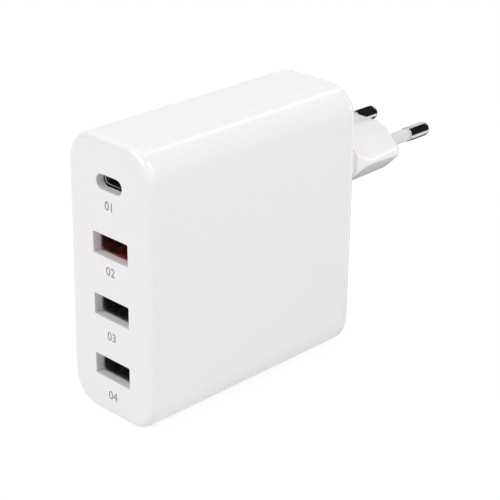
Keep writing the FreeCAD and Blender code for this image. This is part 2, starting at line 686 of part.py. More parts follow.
def port_board():
    """Upright board behind the sockets, slotted for their legs and tails."""
    body = new_body("port_board")
    outline = new_sketch(body, "XZ_Plane")
    rounded(outline, "2 * inner_half - 2 * board_edge_gap", "board_tall", "inner_radius",
            "0", "body_height / 2")
    grow(outline, "board_thick")
    slots = new_sketch(body, "XZ_Plane")
    for index in range(3):
        for across in a_contact_places():
            rectangle(slots, "a_contact_width + 2 * hole_gap", "a_contact_thick + 2 * hole_gap", across,
                      f"{port_z(index)} + a_tongue_low - a_contact_thick / 2")
    for index, mouth in ((0, "a"), (1, "a"), (2, "a"), (3, "c")):
        for side in (-1, 1):
            rectangle(slots, "shell_sheet + 2 * hole_gap", "leg_width + 2 * hole_gap",
                      f"{side} * ({mouth}_mouth_width + shell_sheet) / 2", port_z(index))
    for number in range(HEADER_PINS):
        square = "header_square + 2 * hole_gap"
        rectangle(slots, square, square, "header_x", header_z(number))
    sink(slots, "board_thick")
    place(body, "0", "port_board_y", "0")
    return body


def main_board():
    body = new_body("main_board")
    outline = new_sketch(body, "YZ_Plane")
    rectangle(outline, "main_rear - main_front", "board_tall", "back_y", "body_height / 2")
    grow(outline, "board_thick")
    place(body, "solder_x", "0", "0")
    return body


def board_pins():
    """Square pins that lie on the main board and pass through the port board."""
    pins = []
    for number in range(HEADER_PINS):
        pin = doc.addObject("Part::Box", "board_pin")
        bind(pin, Length="header_square", Height="header_square",
             Width="2 * tail_reach + board_thick + board_step + header_reach")
        place(pin, "board_x", "port_board_y - tail_reach", f"{header_z(number)} - header_square / 2")
        pins.append(pin)
    return group("board_pins", pins)


def transformer_core():
    """Two glued E halves: outer legs, yokes and a middle leg."""
    body = new_body("transformer_core")
    outline = new_sketch(body, "YZ_Plane", "(bobbin_deep - core_deep) / 2")
    rectangle(outline, "core_long", "core_tall")
    for side in (-1, 1):
        rectangle(outline, "window_long", "window_tall", f"{side} * (core_leg + window_long) / 2")
    grow(outline, "core_deep")
    place(body, "board_x", "core_y", "core_z")
    return body


def transformer_bobbin():
    """Flanged tube round the middle leg, which stands on the main board."""
    body = new_body("transformer_bobbin")
    middle = "bobbin_deep / 2"
    half = "(window_tall / 2 - part_fit)"
    flange = ("bobbin_deep", "core_leg + 2 * window_long - 2 * part_fit")
    tube = ("core_deep + 2 * part_fit + 2 * bobbin_wall", "core_leg + 2 * part_fit + 2 * bobbin_wall")
    for size, low, length in ((flange, f"-{half}", "bobbin_wall"),
                              (tube, f"bobbin_wall - {half}", f"2 * {half} - 2 * bobbin_wall"),
                              (flange, f"{half} - bobbin_wall", "bobbin_wall")):
        ring = new_sketch(body, "XY_Plane", low)
        rectangle(ring, *size, middle)
        rectangle(ring, "core_deep + 2 * part_fit", "core_leg + 2 * part_fit", middle)
        grow(ring, length)
    place(body, "board_x", "core_y", "core_z")
    return body


def transformer_winding():
    body = new_body("transformer_winding")
    middle = "bobbin_deep / 2"
    tall = "(window_tall - 4 * part_fit - 2 * bobbin_wall)"
    ring = new_sketch(body, "XY_Plane", f"-{tall} / 2")
    rounded(ring, "bobbin_deep - 2 * winding_inset",
            "core_leg + 2 * window_long - 2 * winding_inset", "winding_round", middle)
    rectangle(ring, "core_deep + 4 * part_fit + 2 * bobbin_wall",
              "core_leg + 4 * part_fit + 2 * bobbin_wall", middle)
    grow(ring, tall)
    place(body, "board_x", "core_y", "core_z")
    return body


def capacitor_can(name, size, plane, axis, where):
    """Rolled can with a groove near its foot."""
    body = new_body(name)
    profile = new_sketch(body, plane)
    radius = size + "_radius"
    length = size + "_length"
    steps = [("0", "0"), (radius, "0"), (radius, "crimp_height"),
             (f"{radius} - crimp_depth", "crimp_height + crimp_width / 2"),
             (radius, "crimp_height + crimp_width"), (radius, length), ("0", length)]
    if axis == "H_Axis":
        steps = [(along_can, out) for out, along_can in steps]
    polygon(profile, steps)
    turn(profile, axis)
    place(body, *where)
    return body


def ring_core(name, size, where):
    """Ring core whose windings lie on all four sides of its section."""
    body = new_body(name)
    profile = new_sketch(body, "XY_Plane")
    low = "coil_build"
    high = f"{size}_thick - coil_build"
    inner = "ring_hole + coil_build"
    outer = f"{size}_radius - coil_build"
    polygon(profile, [(low, inner), (high, inner), (high, outer), (low, outer)])
    turn(profile, "H_Axis")
    place(body, *where)
    return body


def ring_winding(name, size, where, middle, span):
    """Wire layer round the ring core over part of a turn, in degrees about its axis."""
    body = new_body(name)
    profile = new_sketch(body, "XY_Plane")
    thick = f"{size}_thick"
    radius = f"{size}_radius"
    skin = "(coil_build - part_fit)"
    polygon(profile, [("0", "ring_hole"), (thick, "ring_hole"), (thick, radius), ("0", radius)])
    polygon(profile, [(skin, f"ring_hole + {skin}"), (f"{thick} - {skin}", f"ring_hole + {skin}"),
                      (f"{thick} - {skin}", f"{radius} - {skin}"), (skin, f"{radius} - {skin}")])
    turn(profile, "H_Axis", span)
    place(body, *where)
    body.Placement.Rotation = FreeCAD.Rotation(FreeCAD.Vector(1, 0, 0), middle - span / 2)
    return body


def board_block(name, size, y, z, behind=False):
    """Package that stands on the main board, on its component or its solder side."""
    box = doc.addObject("Part::Box", name)
    box.Label = name
    bind(box, Length=size + "_high", Width=size + "_long", Height=size + "_wide")
    x = f"solder_x - {size}_high" if behind else "board_x"
    place(box, x, f"{y} - {size}_long / 2", f"{z} - {size}_wide / 2")
    return box


def back_plate(name, size, x):
    """Plate that lies over the transistor behind the main board."""
    box = doc.addObject("Part::Box", name)
    box.Label = name
    bind(box, Length=size + "_thick", Width=size + "_long", Height=size + "_tall")
    place(box, x, f"back_y - {size}_long / 2", f"back_z - {size}_tall / 2")
    return box


def port_block(name, side, high, across, gap):
    """Square package on the front of the port board, between two sockets."""
    box = doc.addObject("Part::Box", name)
    box.Label = name
    bind(box, Length=side, Height=side, Width=high)
    place(box, f"{across} - {side} / 2", f"port_board_y - {high}", f"{port_z(gap)} - {side} / 2")
    return box


def y_capacitor():
    body = new_body("y_capacitor")
    profile = new_sketch(body, "XY_Plane")
    polygon(profile, [("0", "0"), ("y_cap_radius", "0"),
                      ("y_cap_radius", "y_cap_thick"), ("0", "y_cap_thick")])
    turn(profile, "V_Axis")
    place(body, "board_x + seat_gap + y_cap_radius", "output_y + output_radius + part_gap",
          "roof_z - 2 * filter_radius - part_gap - y_cap_radius")
    return body


def mains_parts():
    """Parts on the mains side of the main board."""
    choke = ("board_x", "core_end_y + part_gap + choke_radius",
             "floor_z + bulk_1_length + part_gap + choke_radius")
    return [
        board_block("mains_fuse", "fuse", "rear_limit - fuse_long / 2", "roof_z - fuse_wide / 2"),
        board_block("x_capacitor", "x_cap", "rear_limit - x_cap_long / 2", "x_cap_roof - x_cap_wide / 2"),
        ring_core("choke_core", "choke", choke),
        ring_winding("choke_winding_1", "choke", choke, 90, CHOKE_SPAN),
        ring_winding("choke_winding_2", "choke", choke, 270, CHOKE_SPAN),
        board_block("bridge_rectifier", "bridge", "rear_limit - bridge_long / 2",
                    "bridge_roof - bridge_wide / 2"),
        capacitor_can("bulk_capacitor_1", "bulk_1", "XZ_Plane", "V_Axis",
                      ("board_x + seat_gap + bulk_1_radius", "core_end_y + part_gap + bulk_1_radius",
                       "floor_z")),
        capacitor_can("bulk_capacitor_2", "bulk_2", "XY_Plane", "V_Axis",
                      ("board_x + seat_gap + bulk_2_radius", "main_front + header_reach + part_gap",
                       "floor_z + core_tall + part_gap + bulk_2_radius")),
        board_block("power_transistor", "transistor", "back_y", "back_z", behind=True),
        back_plate("heat_spreader", "spreader", "solder_x - transistor_high - spreader_thick"),
        back_plate("insulation_sheet", "sheet", "sheet_gap - inner_half"),
        board_block("control_chip", "control", "back_y", "roof_z - control_wide", behind=True),
        board_block("optocoupler", "opto", "main_front + part_gap + opto_long", "roof_z - opto_wide",
                    behind=True),
    ]


def output_parts():
    """Parts on the low-voltage side, on both boards."""
    coil = ("board_x", "filter_y", "roof_z - filter_radius")
    made = [
        board_block("sync_rectifier", "sync", "main_front + part_gap + sync_long",
                    "roof_z - 2 * opto_wide - sync_wide", behind=True),
        ring_core("filter_core", "filter", coil),
        ring_winding("filter_winding", "filter", coil, 180, FILTER_SPAN),
        y_capacitor(),
    ]
    for number in (1, 2):
        z = f"roof_z - output_radius - {number - 1} * (2 * output_radius + part_gap)"
        made.append(capacitor_can(f"output_capacitor_{number}", "output", "XY_Plane", "H_Axis",
                                  ("board_x", "output_y", z)))
    for number, gap in enumerate((2.5, 1.5, 0.5), start=1):
        made.append(port_block(f"buck_inductor_{number}", "buck_side", "buck_high",
                               "port_part_offset", gap))
    for number, gap in enumerate((2.5, 0.5), start=1):
        made.append(port_block(f"port_controller_{number}", "chip_side", "chip_high",
                               "-port_part_offset", gap))
    return made


def all_parts():
    made = [main_housing(), rear_cover()]
    for name, side in (("live", 1), ("neutral", -1)):
        made.append(mains_pin(name + "_pin", side))
        made.append(pin_sleeve(name + "_pin_sleeve", side))
        made.append(mains_lead(name + "_lead", side))
    for index, name in enumerate(PORT_NAMES):
        if name == "usb_c":
            made += [usb_c_shell(index), usb_c_insulator(index), usb_c_contacts(index)]
        else:
            made += [usb_a_shell(name, index), usb_a_insulator(name, index), usb_a_contacts(name, index)]
    made += [port_board(), main_board(), board_pins()]
    made += [transformer_core(), transformer_bobbin(), transformer_winding()]
    made += mains_parts()
    made += output_parts()
    return made


def check_all(made):
    """Stop if any object failed or any piece is not a sound solid."""
    doc.recompute()
    for item in doc.Objects:
        if "Invalid" in item.State or "Error" in item.State:
            raise RuntimeError(f"{item.Name} failed: {item.State}")
    for item in made:
        if item.Shape.isNull() or not item.Shape.isValid() or not item.Shape.Solids:
            raise RuntimeError(f"{item.Label} is not a sound solid")


def write_all(made):
    os.makedirs("parts", exist_ok=True)
    for item in made:
        item.Shape.exportStep(f"parts/{item.Label}.step")
        print(f"{item.Label}: {len(item.Shape.Solids)} solid(s), {item.Shape.Volume:.1f} mm3")


sizes = fill_sheet("Sizes", SIZES)
fill_sheet("Layout", LAYOUT)
parts = all_parts()
check_all(parts)
write_all(parts)
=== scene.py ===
# %% [markdown]
# # A white wall charger with four sockets
# This lesson dresses a imported CAD model in Blender. The model comes in as a fixed frame in metres:
# +Z is up, the sockets face -Y and the plug's pins point along +Y. Every mesh below is built in that
# same frame, so nothing has to be moved into place afterwards.

# %% Load the frame
import json
import math

import bmesh
import bpy
from mathutils import Matrix, Vector
from mathutils.geometry import delaunay_2d_cdt


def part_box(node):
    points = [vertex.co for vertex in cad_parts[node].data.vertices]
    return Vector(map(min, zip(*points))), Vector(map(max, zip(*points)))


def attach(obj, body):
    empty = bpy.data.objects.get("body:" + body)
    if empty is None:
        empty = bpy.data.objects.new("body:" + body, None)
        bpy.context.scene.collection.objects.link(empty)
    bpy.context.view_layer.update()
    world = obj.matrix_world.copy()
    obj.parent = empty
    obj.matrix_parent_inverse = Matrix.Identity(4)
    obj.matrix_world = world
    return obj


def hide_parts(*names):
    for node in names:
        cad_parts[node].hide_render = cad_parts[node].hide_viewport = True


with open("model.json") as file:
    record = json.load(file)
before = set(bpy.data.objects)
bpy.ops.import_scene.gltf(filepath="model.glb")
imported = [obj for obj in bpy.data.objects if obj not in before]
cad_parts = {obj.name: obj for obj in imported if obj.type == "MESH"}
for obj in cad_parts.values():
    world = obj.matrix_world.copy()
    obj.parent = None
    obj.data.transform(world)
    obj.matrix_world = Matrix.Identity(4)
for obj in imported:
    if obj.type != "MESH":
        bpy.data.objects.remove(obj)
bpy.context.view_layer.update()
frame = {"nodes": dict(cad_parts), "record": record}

scene = bpy.context.scene
scene.view_settings.view_transform = "Standard"
print("nodes in the frame:", len(frame["nodes"]))

# %% [markdown]
# ## Camera
# The photograph looks at the corner between the port face and a broad side, a little from above.
# A camera can be aimed with a Track To constraint, but that leaves no say over its roll. Here its
# three axes are worked out from two angles and the roll. A long lens keeps the edges almost parallel.
# The optical axis doesn't pass through the middle of the picture, as in a cropped photograph, so the
# lens has a small shift.

# %% Camera
MM = 0.001
CAMERA_PLACE = Vector((266.95, -263.91, 204.06)) * MM
CAMERA_AZIMUTH = math.radians(45.35)
CAMERA_ELEVATION = math.radians(23.27)
CAMERA_ROLL = math.radians(0.38)
LENS = 115.4
SENSOR = 36
SHIFT = (0.0686, -0.0557)
NEAREST_SEEN = 0.01


def add_object(name, data):
    """A new object in the scene that shows some data: a mesh, a text, a camera or a light."""
    thing = bpy.data.objects.new(name, data)
    scene.collection.objects.link(thing)
    return thing


def camera_axes(azimuth, elevation, roll):
    """The camera's right, up and backward directions."""
    level = math.cos(elevation)
    back = Vector((math.sin(azimuth) * level, -math.cos(azimuth) * level, math.sin(elevation)))
    flat_right = Vector((math.cos(azimuth), math.sin(azimuth), 0))
    right = flat_right * math.cos(roll) + back.cross(flat_right) * math.sin(roll)
    return right, back.cross(right), back


lens_data = bpy.data.cameras.new("photo_camera")
lens_data.lens = LENS
lens_data.sensor_width = SENSOR
lens_data.shift_x, lens_data.shift_y = SHIFT
lens_data.clip_start = NEAREST_SEEN
camera = add_object("photo_camera", lens_data)
turned = Matrix(camera_axes(CAMERA_AZIMUTH, CAMERA_ELEVATION, CAMERA_ROLL)).transposed().to_4x4()
camera.matrix_world = Matrix.Translation(CAMERA_PLACE) @ turned
scene.camera = camera

# %% [markdown]
# ## Sizes
# The main sizes of the case are read from the frame, so the dressing fits the CAD model. They could
# be typed in again, but then a change there would leave this file behind. Small sizes, such as edge
# rounds and walls, come where they are first used. They are written in millimetres and turned into
# metres once.

# %% Sizes
housing_low, housing_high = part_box("main_housing")
cover_low, cover_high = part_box("rear_cover")
THICK = housing_high.x - housing_low.x
HEIGHT = housing_high.z - housing_low.z
MID_Z = HEIGHT / 2
FRONT_Y = housing_low.y
SEAM_Y = housing_high.y
LIP_Y = cover_low.y
PLUG_Y = cover_high.y
print("housing:", round(THICK / MM, 2), round((SEAM_Y - FRONT_Y) / MM, 2), round(HEIGHT / MM, 2), "mm")

# %% [markdown]
# ## Outlines
# The mouldings of a charger are stacks of closed outlines, each one a ring of points in a plane across
# Y. A scaled cube with a Bevel modifier is quicker, but its corners and its edges then share a radius.
# Here the corners are rounded in the outline, and the edges by a few outlines that follow a quarter
# circle, so each round has a size of its own.

# %% Outlines
CORNER_STEPS = 20


def rounded_outline(width, height, radius, mid_z=0.0, mid_x=0.0, steps=CORNER_STEPS):
    """Points (x, z) of a rectangle with round corners, counter-clockwise seen from -Y."""
    points = []
    for corner, (right, top) in enumerate(((1, -1), (1, 1), (-1, 1), (-1, -1))):
        centre_x = mid_x + right * (width / 2 - radius)
        centre_z = mid_z + top * (height / 2 - radius)
        for step in range(steps + 1):
            angle = (corner - 1 + step / steps) * math.pi / 2
            points.append((centre_x + radius * math.cos(angle), centre_z + radius * math.sin(angle)))
    return points


def round_outline(radius, mid_x, mid_z, steps=48):
    """Points (x, z) of a circle."""
    turns = [2 * math.pi * step / steps for step in range(steps)]
    return [(mid_x + radius * math.cos(turn), mid_z + radius * math.sin(turn)) for turn in turns]


def quarter(radius, steps):
    """Pairs (inset, advance) along a round edge, from the side to the flat end."""
    turns = [step / steps * math.pi / 2 for step in range(steps + 1)]
    return [(radius * (1 - math.cos(turn)), radius * math.sin(turn)) for turn in turns]


print("points in a rounded outline:", 4 * (CORNER_STEPS + 1))

# %% [markdown]
# ## Rings and faces
# Neighbouring outlines become rings of vertices joined with quads, which shade evenly round an edge.
# A flat wall with port holes can't be one face, because a face has no holes, so it is filled with
# triangles. Blender's fill operators work out by themselves which edges belong together, and can leave
# a gap. The triangulation used here is told every loop, so the wall meets the edge of each hole and the
# mesh stays closed.

# %% Rings and faces
INSIDE_WITH_HOLES = 2
SAME_PLACE = 1e-6


def add_ring(bm, points, y):
    return [bm.verts.new((x, y, z)) for x, z in points]


def join_rings(bm, one, other):
    """Quads between two rings of the same length."""
    count = len(one)
    for index in range(count):
        ahead = (index + 1) % count
        bm.faces.new((one[index], one[ahead], other[ahead], other[index]))


def chain(bm, rings):
    """Join each ring to the next."""
    for one, other in zip(rings, rings[1:]):
        join_rings(bm, one, other)
    return rings


def close_ends(bm, rings):
    """One flat face on each end of a chain."""
    bm.faces.new(rings[0])
    bm.faces.new(rings[-1])


def fill_flat(bm, rings):
    """Fill a flat area between an outer ring and any holes with triangles."""
    verts = [vert for ring in rings for vert in ring]
    places = [Vector((vert.co.x, vert.co.z)) / MM for vert in verts]
    loops = []
    for ring in rings:
        first = sum(len(loop) for loop in loops)
        loops.append(list(range(first, first + len(ring))))
    made = delaunay_2d_cdt(places, [], loops, INSIDE_WITH_HOLES, SAME_PLACE)
    faces, sources = made[2], made[3]
    for face in faces:
        bm.faces.new([verts[sources[corner][0]] for corner in face])


trial = bmesh.new()
fill_flat(trial, [add_ring(trial, round_outline(radius, 0, 0), 0) for radius in (2 * MM, MM)])
print("triangles in a trial washer:", len(trial.faces))
trial.free()

# %% [markdown]
# ## From a mesh to a piece
# A moulding is smooth along its rounds and crisp where two flats meet. Flat shading would show every
# facet, and smooth shading alone would smear the flats. So faces are smooth, edges above an angle stay
# sharp, and a Weighted Normal modifier lets the large flats decide how the light falls on them. Each
# piece is then tied to the frame: it rides on the body, and the CAD node it stands for is hidden.

# %% From a mesh to a piece
SHARP = math.radians(32)
FLATS_WEIGHT = 80
MERGE_DISTANCE = 1e-7


def mesh_from(bm, name):
    mesh = bpy.data.meshes.new(name)
    bm.to_mesh(mesh)
    bm.free()
    return mesh


def finish_mesh(mesh, name):
    """An object whose mesh is smooth except at sharp edges."""
    mesh.shade_smooth()
    mesh.set_sharp_from_angle(angle=SHARP)
    piece = add_object(name, mesh)
    weighted = piece.modifiers.new("even_shading", "WEIGHTED_NORMAL")
    weighted.keep_sharp = True
    weighted.weight = FLATS_WEIGHT
    return piece


def to_object(bm, name):
    """Merge what meets, turn all faces outwards and make the object."""
    bmesh.ops.remove_doubles(bm, verts=bm.verts, dist=MERGE_DISTANCE)
    bmesh.ops.recalc_face_normals(bm, faces=bm.faces)
    return finish_mesh(mesh_from(bm, name), name)


def dress(piece, material, slot, *nodes):
    """Give a piece its finish and tie it to the frame."""
    piece.data.materials.clear()
    piece.data.materials.append(material)
    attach(piece, "root")
    if nodes:
        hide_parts(*nodes)
    print(piece.name, "faces:", len(piece.data.polygons))
    return piece


print("edges stay sharp above", round(math.degrees(SHARP)), "degrees")

# %% [markdown]
# ## Shared surface effects
# No real surface has one colour and one gloss all over. Two effects serve many finishes here, so each
# is a node group: built once, with named sockets, and placed in a material with its own values. The
# same nodes copied into every material would have to be corrected in some twenty places. Nodes can be
# placed and wired one by one, but a few helpers keep the wiring short enough to read.

# %% Node helpers
def add_node(tree, kind, **settings):
    node = tree.nodes.new(kind)
    for key, setting in settings.items():
        setattr(node, key, setting)
    return node


def link(tree, *pairs):
    for source, target in pairs:
        tree.links.new(source, target)


def noise(tree, place, detail):
    """A noise texture with one feature per unit of place."""
    node = add_node(tree, "ShaderNodeTexNoise")
    node.inputs["Detail"].default_value = detail
    node.inputs["Scale"].default_value = 1.0
    link(tree, (place, node.inputs["Vector"]))
    return node


print("node helpers: add_node, link and noise")

# %% [markdown]
# ## What the surface groups share
# Plastic and metal differ in their pattern, but both take two colours and two roughnesses, mix them by
# that pattern and hand on a relief. Two groups built apart would repeat all of that. So one helper
# opens a group with the shared sockets, and another closes it with the mixing.

# %% What the surface groups share
SURFACE_INPUTS = (("Color", "NodeSocketColor", (0.8, 0.8, 0.8, 1)),
                  ("Shade", "NodeSocketColor", (0.7, 0.7, 0.7, 1)),
                  ("Smooth", "NodeSocketFloat", 0.25), ("Rough", "NodeSocketFloat", 0.32))
SURFACE_OUTPUTS = (("Color", "NodeSocketColor"), ("Roughness", "NodeSocketFloat"),
                   ("Height", "NodeSocketFloat"))


def start_group(name, *own_inputs):
    """A group with the shared sockets and its own inputs, and the place on the object."""
    group = bpy.data.node_groups.new(name, "ShaderNodeTree")
    for label, kind, default in (*SURFACE_INPUTS, *own_inputs):
        group.interface.new_socket(label, in_out="INPUT", socket_type=kind).default_value = default
    for label, kind in SURFACE_OUTPUTS:
        group.interface.new_socket(label, in_out="OUTPUT", socket_type=kind)
    given = add_node(group, "NodeGroupInput").outputs
    return group, given, add_node(group, "ShaderNodeTexCoord").outputs["Object"]


def end_group(group, given, pattern, relief):
    """Mix colour and roughness by a pattern, and put them out with the relief."""
    blend = add_node(group, "ShaderNodeMix", data_type="RGBA")
    gloss = add_node(group, "ShaderNodeMapRange")
    made = add_node(group, "NodeGroupOutput").inputs
    link(group, (pattern, blend.inputs["Factor"]), (given["Color"], blend.inputs["A"]),
         (given["Shade"], blend.inputs["B"]), (pattern, gloss.inputs["Value"]),
         (given["Smooth"], gloss.inputs["To Min"]), (given["Rough"], gloss.inputs["To Max"]),
         (blend.outputs["Result"], made["Color"]), (gloss.outputs["Result"], made["Roughness"]),
         (relief, made["Height"]))
    outputs = [item.name for item in group.interface.items_tree if item.in_out == "OUTPUT"]
    print(group.name, "puts out", outputs)
    return group


print("inputs that the groups share:", [label for label, kind, default in SURFACE_INPUTS])

# %% [markdown]
# ## Moulded surface
# Moulded plastic drifts slowly in tone and gloss, where it cooled unevenly, and has a very fine grain
# from the tool. An image texture would need unwrapping and would repeat. Two noise textures on object
# coordinates need neither: a large one for the drift and a small one for the grain.

# %% Node group: moulded surface
DRIFT_DETAIL = 3.0
GRAIN_DETAIL = 2.0


def moulded_group():
    group, given, place = start_group("moulded_surface", ("Drift Scale", "NodeSocketFloat", 40.0),
                                      ("Grain Scale", "NodeSocketFloat", 3000.0))
    drift = noise(group, place, DRIFT_DETAIL)
    grain = noise(group, place, GRAIN_DETAIL)
    link(group, (given["Drift Scale"], drift.inputs["Scale"]),
         (given["Grain Scale"], grain.inputs["Scale"]))
    return end_group(group, given, drift.outputs["Fac"], grain.outputs["Fac"])


MOULDED = moulded_group()

# %% [markdown]
# ## Drawn metal
# Rolled sheet and turned pins carry fine lines along the way they were worked. Anisotropic shading can
# hint at them, but it shows no lines close up. So the coordinates are stretched before the noise: few
# features along the metal and many across it.

# %% Node group: drawn metal
LINES_DETAIL = 3.0


def drawn_group():
    group, given, place = start_group("drawn_metal", ("Stretch", "NodeSocketVector", (4000, 60, 4000)))
    stretched = add_node(group, "ShaderNodeVectorMath", operation="MULTIPLY")
    link(group, (place, stretched.inputs[0]), (given["Stretch"], stretched.inputs[1]))
    lines = noise(group, stretched.outputs["Vector"], LINES_DETAIL).outputs["Fac"]
    return end_group(group, given, lines, lines)


DRAWN = drawn_group()

# %% [markdown]
# ## Materials from a group
# A finish is a Principled BSDF with one of the two groups in front of it. The group feeds colour,
# roughness and a shallow bump, which change over the surface. What is the same all over, such as being
# a metal, is set on the shader's own socket, where an exporter finds it.

# %% Materials from a group
RELIEF = 0.01 * MM


def finish_from(name, group, values, bump):
    """A material whose colour, roughness and bump come from a group."""
    material = bpy.data.materials.new(name)
    material.use_nodes = True
    tree = material.node_tree
    shader = tree.nodes["Principled BSDF"]
    effect = add_node(tree, "ShaderNodeGroup", node_tree=group)
    for label, setting in values.items():
        effect.inputs[label].default_value = setting
    relief = add_node(tree, "ShaderNodeBump")
    relief.inputs["Strength"].default_value = bump
    relief.inputs["Distance"].default_value = RELIEF
    link(tree, (effect.outputs["Color"], shader.inputs["Base Color"]),
         (effect.outputs["Roughness"], shader.inputs["Roughness"]),
         (effect.outputs["Height"], relief.inputs["Height"]),
         (relief.outputs["Normal"], shader.inputs["Normal"]))
    return material, shader


def plastic(name, color, shade, smooth=0.3, rough=0.42, grain=2500.0, bump=0.1, bend=1.5):
    """A moulded finish; bend is its index of refraction."""
    values = {"Color": (*color, 1), "Shade": (*shade, 1), "Smooth": smooth, "Rough": rough,
              "Grain Scale": grain}
    material, shader = finish_from(name, MOULDED, values, bump)
    shader.inputs["IOR"].default_value = bend
    return material


def metal(name, color, shade, smooth=0.12, rough=0.28, stretch=(4000, 60, 4000), bump=0.05):
    """A drawn finish; stretch is the number of features per metre along each axis."""
    values = {"Color": (*color, 1), "Shade": (*shade, 1), "Smooth": smooth, "Rough": rough,
              "Stretch": stretch}
    material, shader = finish_from(name, DRAWN, values, bump)
    shader.inputs["Metallic"].default_value = 1.0
    return material


print("deepest relief of a finish:", round(RELIEF / MM, 3), "mm")

# %% [markdown]
# ## White shell plastic
# The case is polished white plastic with broad, fairly sharp reflections. Pure white would be simple,
# but it leaves no room for highlights. The colour stays under white, with a trace of violet, and its two
# tones are almost the same, so that the light can model the edges.

# %% White shell plastic
white_shell = plastic("white_shell", (0.86, 0.84, 0.86), (0.857, 0.837, 0.858),
                      smooth=0.185, rough=0.2, grain=1800.0, bump=0.03, bend=1.49)
print("finish made:", white_shell.name)

# %% [markdown]
# ## Port places
# Four sockets sit one above the other, a small rounded one on top and three larger ones below it. The
# cut-outs in the case have to line up with the socket shells. Their heights could be typed in, but the
# CAD shells already hold them, so they are read from there.

# %% Port places
CUT_CORNER = 0.35 * MM
A_CUT = (12.5 * MM, 5.7 * MM, CUT_CORNER)
C_CUT = (9.2 * MM, 3.9 * MM, 1.95 * MM)
A_PORTS = ("usb_a_1", "usb_a_2", "usb_a_3")


def middle_z(node):
    low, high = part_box(node)
    return (low.z + high.z) / 2


port_cuts = [(middle_z(name + "_shell"), *A_CUT) for name in A_PORTS]
port_cuts.append((middle_z("usb_c_shell"), *C_CUT))
print("port heights:", [round(cut[0] / MM, 2) for cut in port_cuts], "mm")

# %% [markdown]
# ## Main housing
# The housing is one deep moulding: a port wall and four side walls, open at the back. Booleans on a
# box would cut the ports too, but leave their edges knife-sharp. Here rings run from the seam along
# the outside, round the front edge and on to the port face. Each cut-out has its own small rounded
# edge and a wall through to the cavity, so light falls into it as into the real part.

# %% Main housing
CORNER = 8.6 * MM
FRONT_ROUND = 2.0 * MM
SEAM_ROUND = 0.12 * MM
WALL = 2.4 * MM
CUT_EDGE = 0.15 * MM


def body_outline(inset):
    return rounded_outline(THICK - 2 * inset, HEIGHT - 2 * inset, CORNER - inset, MID_Z)


def cut_outline(cut, out):
    mid_z, width, height, radius = cut
    return rounded_outline(width + 2 * out, height + 2 * out, radius + out, mid_z, steps=8)


def make_housing():
    bm = bmesh.new()
    cavity_y = FRONT_Y + WALL
    outside = [add_ring(bm, body_outline(inset), SEAM_Y - SEAM_ROUND + out)
               for inset, out in reversed(quarter(SEAM_ROUND, steps=3))]
    outside += [add_ring(bm, body_outline(inset), FRONT_Y + FRONT_ROUND - out)
                for inset, out in quarter(FRONT_ROUND, steps=12)]
    chain(bm, outside)
    face_holes = []
    back_holes = []
    for cut in port_cuts:
        edge = [add_ring(bm, cut_outline(cut, CUT_EDGE - narrower), FRONT_Y + deeper)
                for deeper, narrower in quarter(CUT_EDGE, steps=3)]
        edge.append(add_ring(bm, cut_outline(cut, 0), cavity_y))
        chain(bm, edge)
        face_holes.append(edge[0])
        back_holes.append(edge[-1])
    fill_flat(bm, [outside[-1], *face_holes])
    inside = chain(bm, [add_ring(bm, body_outline(WALL), y) for y in (cavity_y, SEAM_Y)])
    fill_flat(bm, [inside[0], *back_holes])
    join_rings(bm, inside[1], outside[0])
    return to_object(bm, "case_housing")


dress(make_housing(), white_shell, "white_shell", "main_housing")

# %% [markdown]
# ## Rear cover plate
# A second moulding closes the case: a plate with a rounded rear edge and a lip that plugs into the
# housing. A thin slab would show the same from outside, but the real cover has the lip, and the case
# may be opened. So the rings go from the rear face over the edge to the seam, along the lip and back.

# %% Rear cover plate
PLATE = 2.2 * MM
REAR_Y = SEAM_Y + PLATE
REAR_ROUND = 1.6 * MM
FIT = 0.15 * MM
LIP_WALL = 1.2 * MM


def make_plate():
    bm = bmesh.new()
    outside = [add_ring(bm, body_outline(inset), SEAM_Y + SEAM_ROUND - out)
               for inset, out in reversed(quarter(SEAM_ROUND, steps=3))]
    outside += [add_ring(bm, body_outline(inset), REAR_Y - REAR_ROUND + out)
                for inset, out in quarter(REAR_ROUND, steps=10)]
    lip_out = WALL + FIT
    lip_in = lip_out + LIP_WALL
    lip = [add_ring(bm, body_outline(inset), y)
           for inset, y in ((lip_out, SEAM_Y), (lip_out, LIP_Y), (lip_in, LIP_Y), (lip_in, SEAM_Y))]
    chain(bm, outside)
    chain(bm, [outside[0], *lip])
    fill_flat(bm, [outside[-1]])
    fill_flat(bm, [lip[-1]])
    return to_object(bm, "case_rear_cover")


plate = make_plate()
print("plate faces:", len(plate.data.polygons))

# %% [markdown]
# ## Sections of the plug block
# The plug block stands on the cover. It is flat above and below and has a blunt ridge along each side.
# At its root it is narrower, and its sides swell out to the ridge at a shoulder. A tapered box can't
# do that, so a function gives the section at any place along Y, and the shoulder is eased in it.

# %% Sections of the plug block
PIN_Z = middle_z("live_pin")
SHOULDER_Y = REAR_Y + 4.2 * MM
SHOULDER_SIDE = 1.0 * MM
SHOULDER_EASE = 1.6 * MM
BLOCK_ROOT_Y = REAR_Y - REAR_ROUND
# Each section is its width, flat top, height and blunt side.
ROOT_SECTION = (28.8 * MM, 19.8 * MM, 16 * MM, 9 * MM)
FRONT_SECTION = (cover_high.x * 2, 21 * MM, 14 * MM, 2.4 * MM)


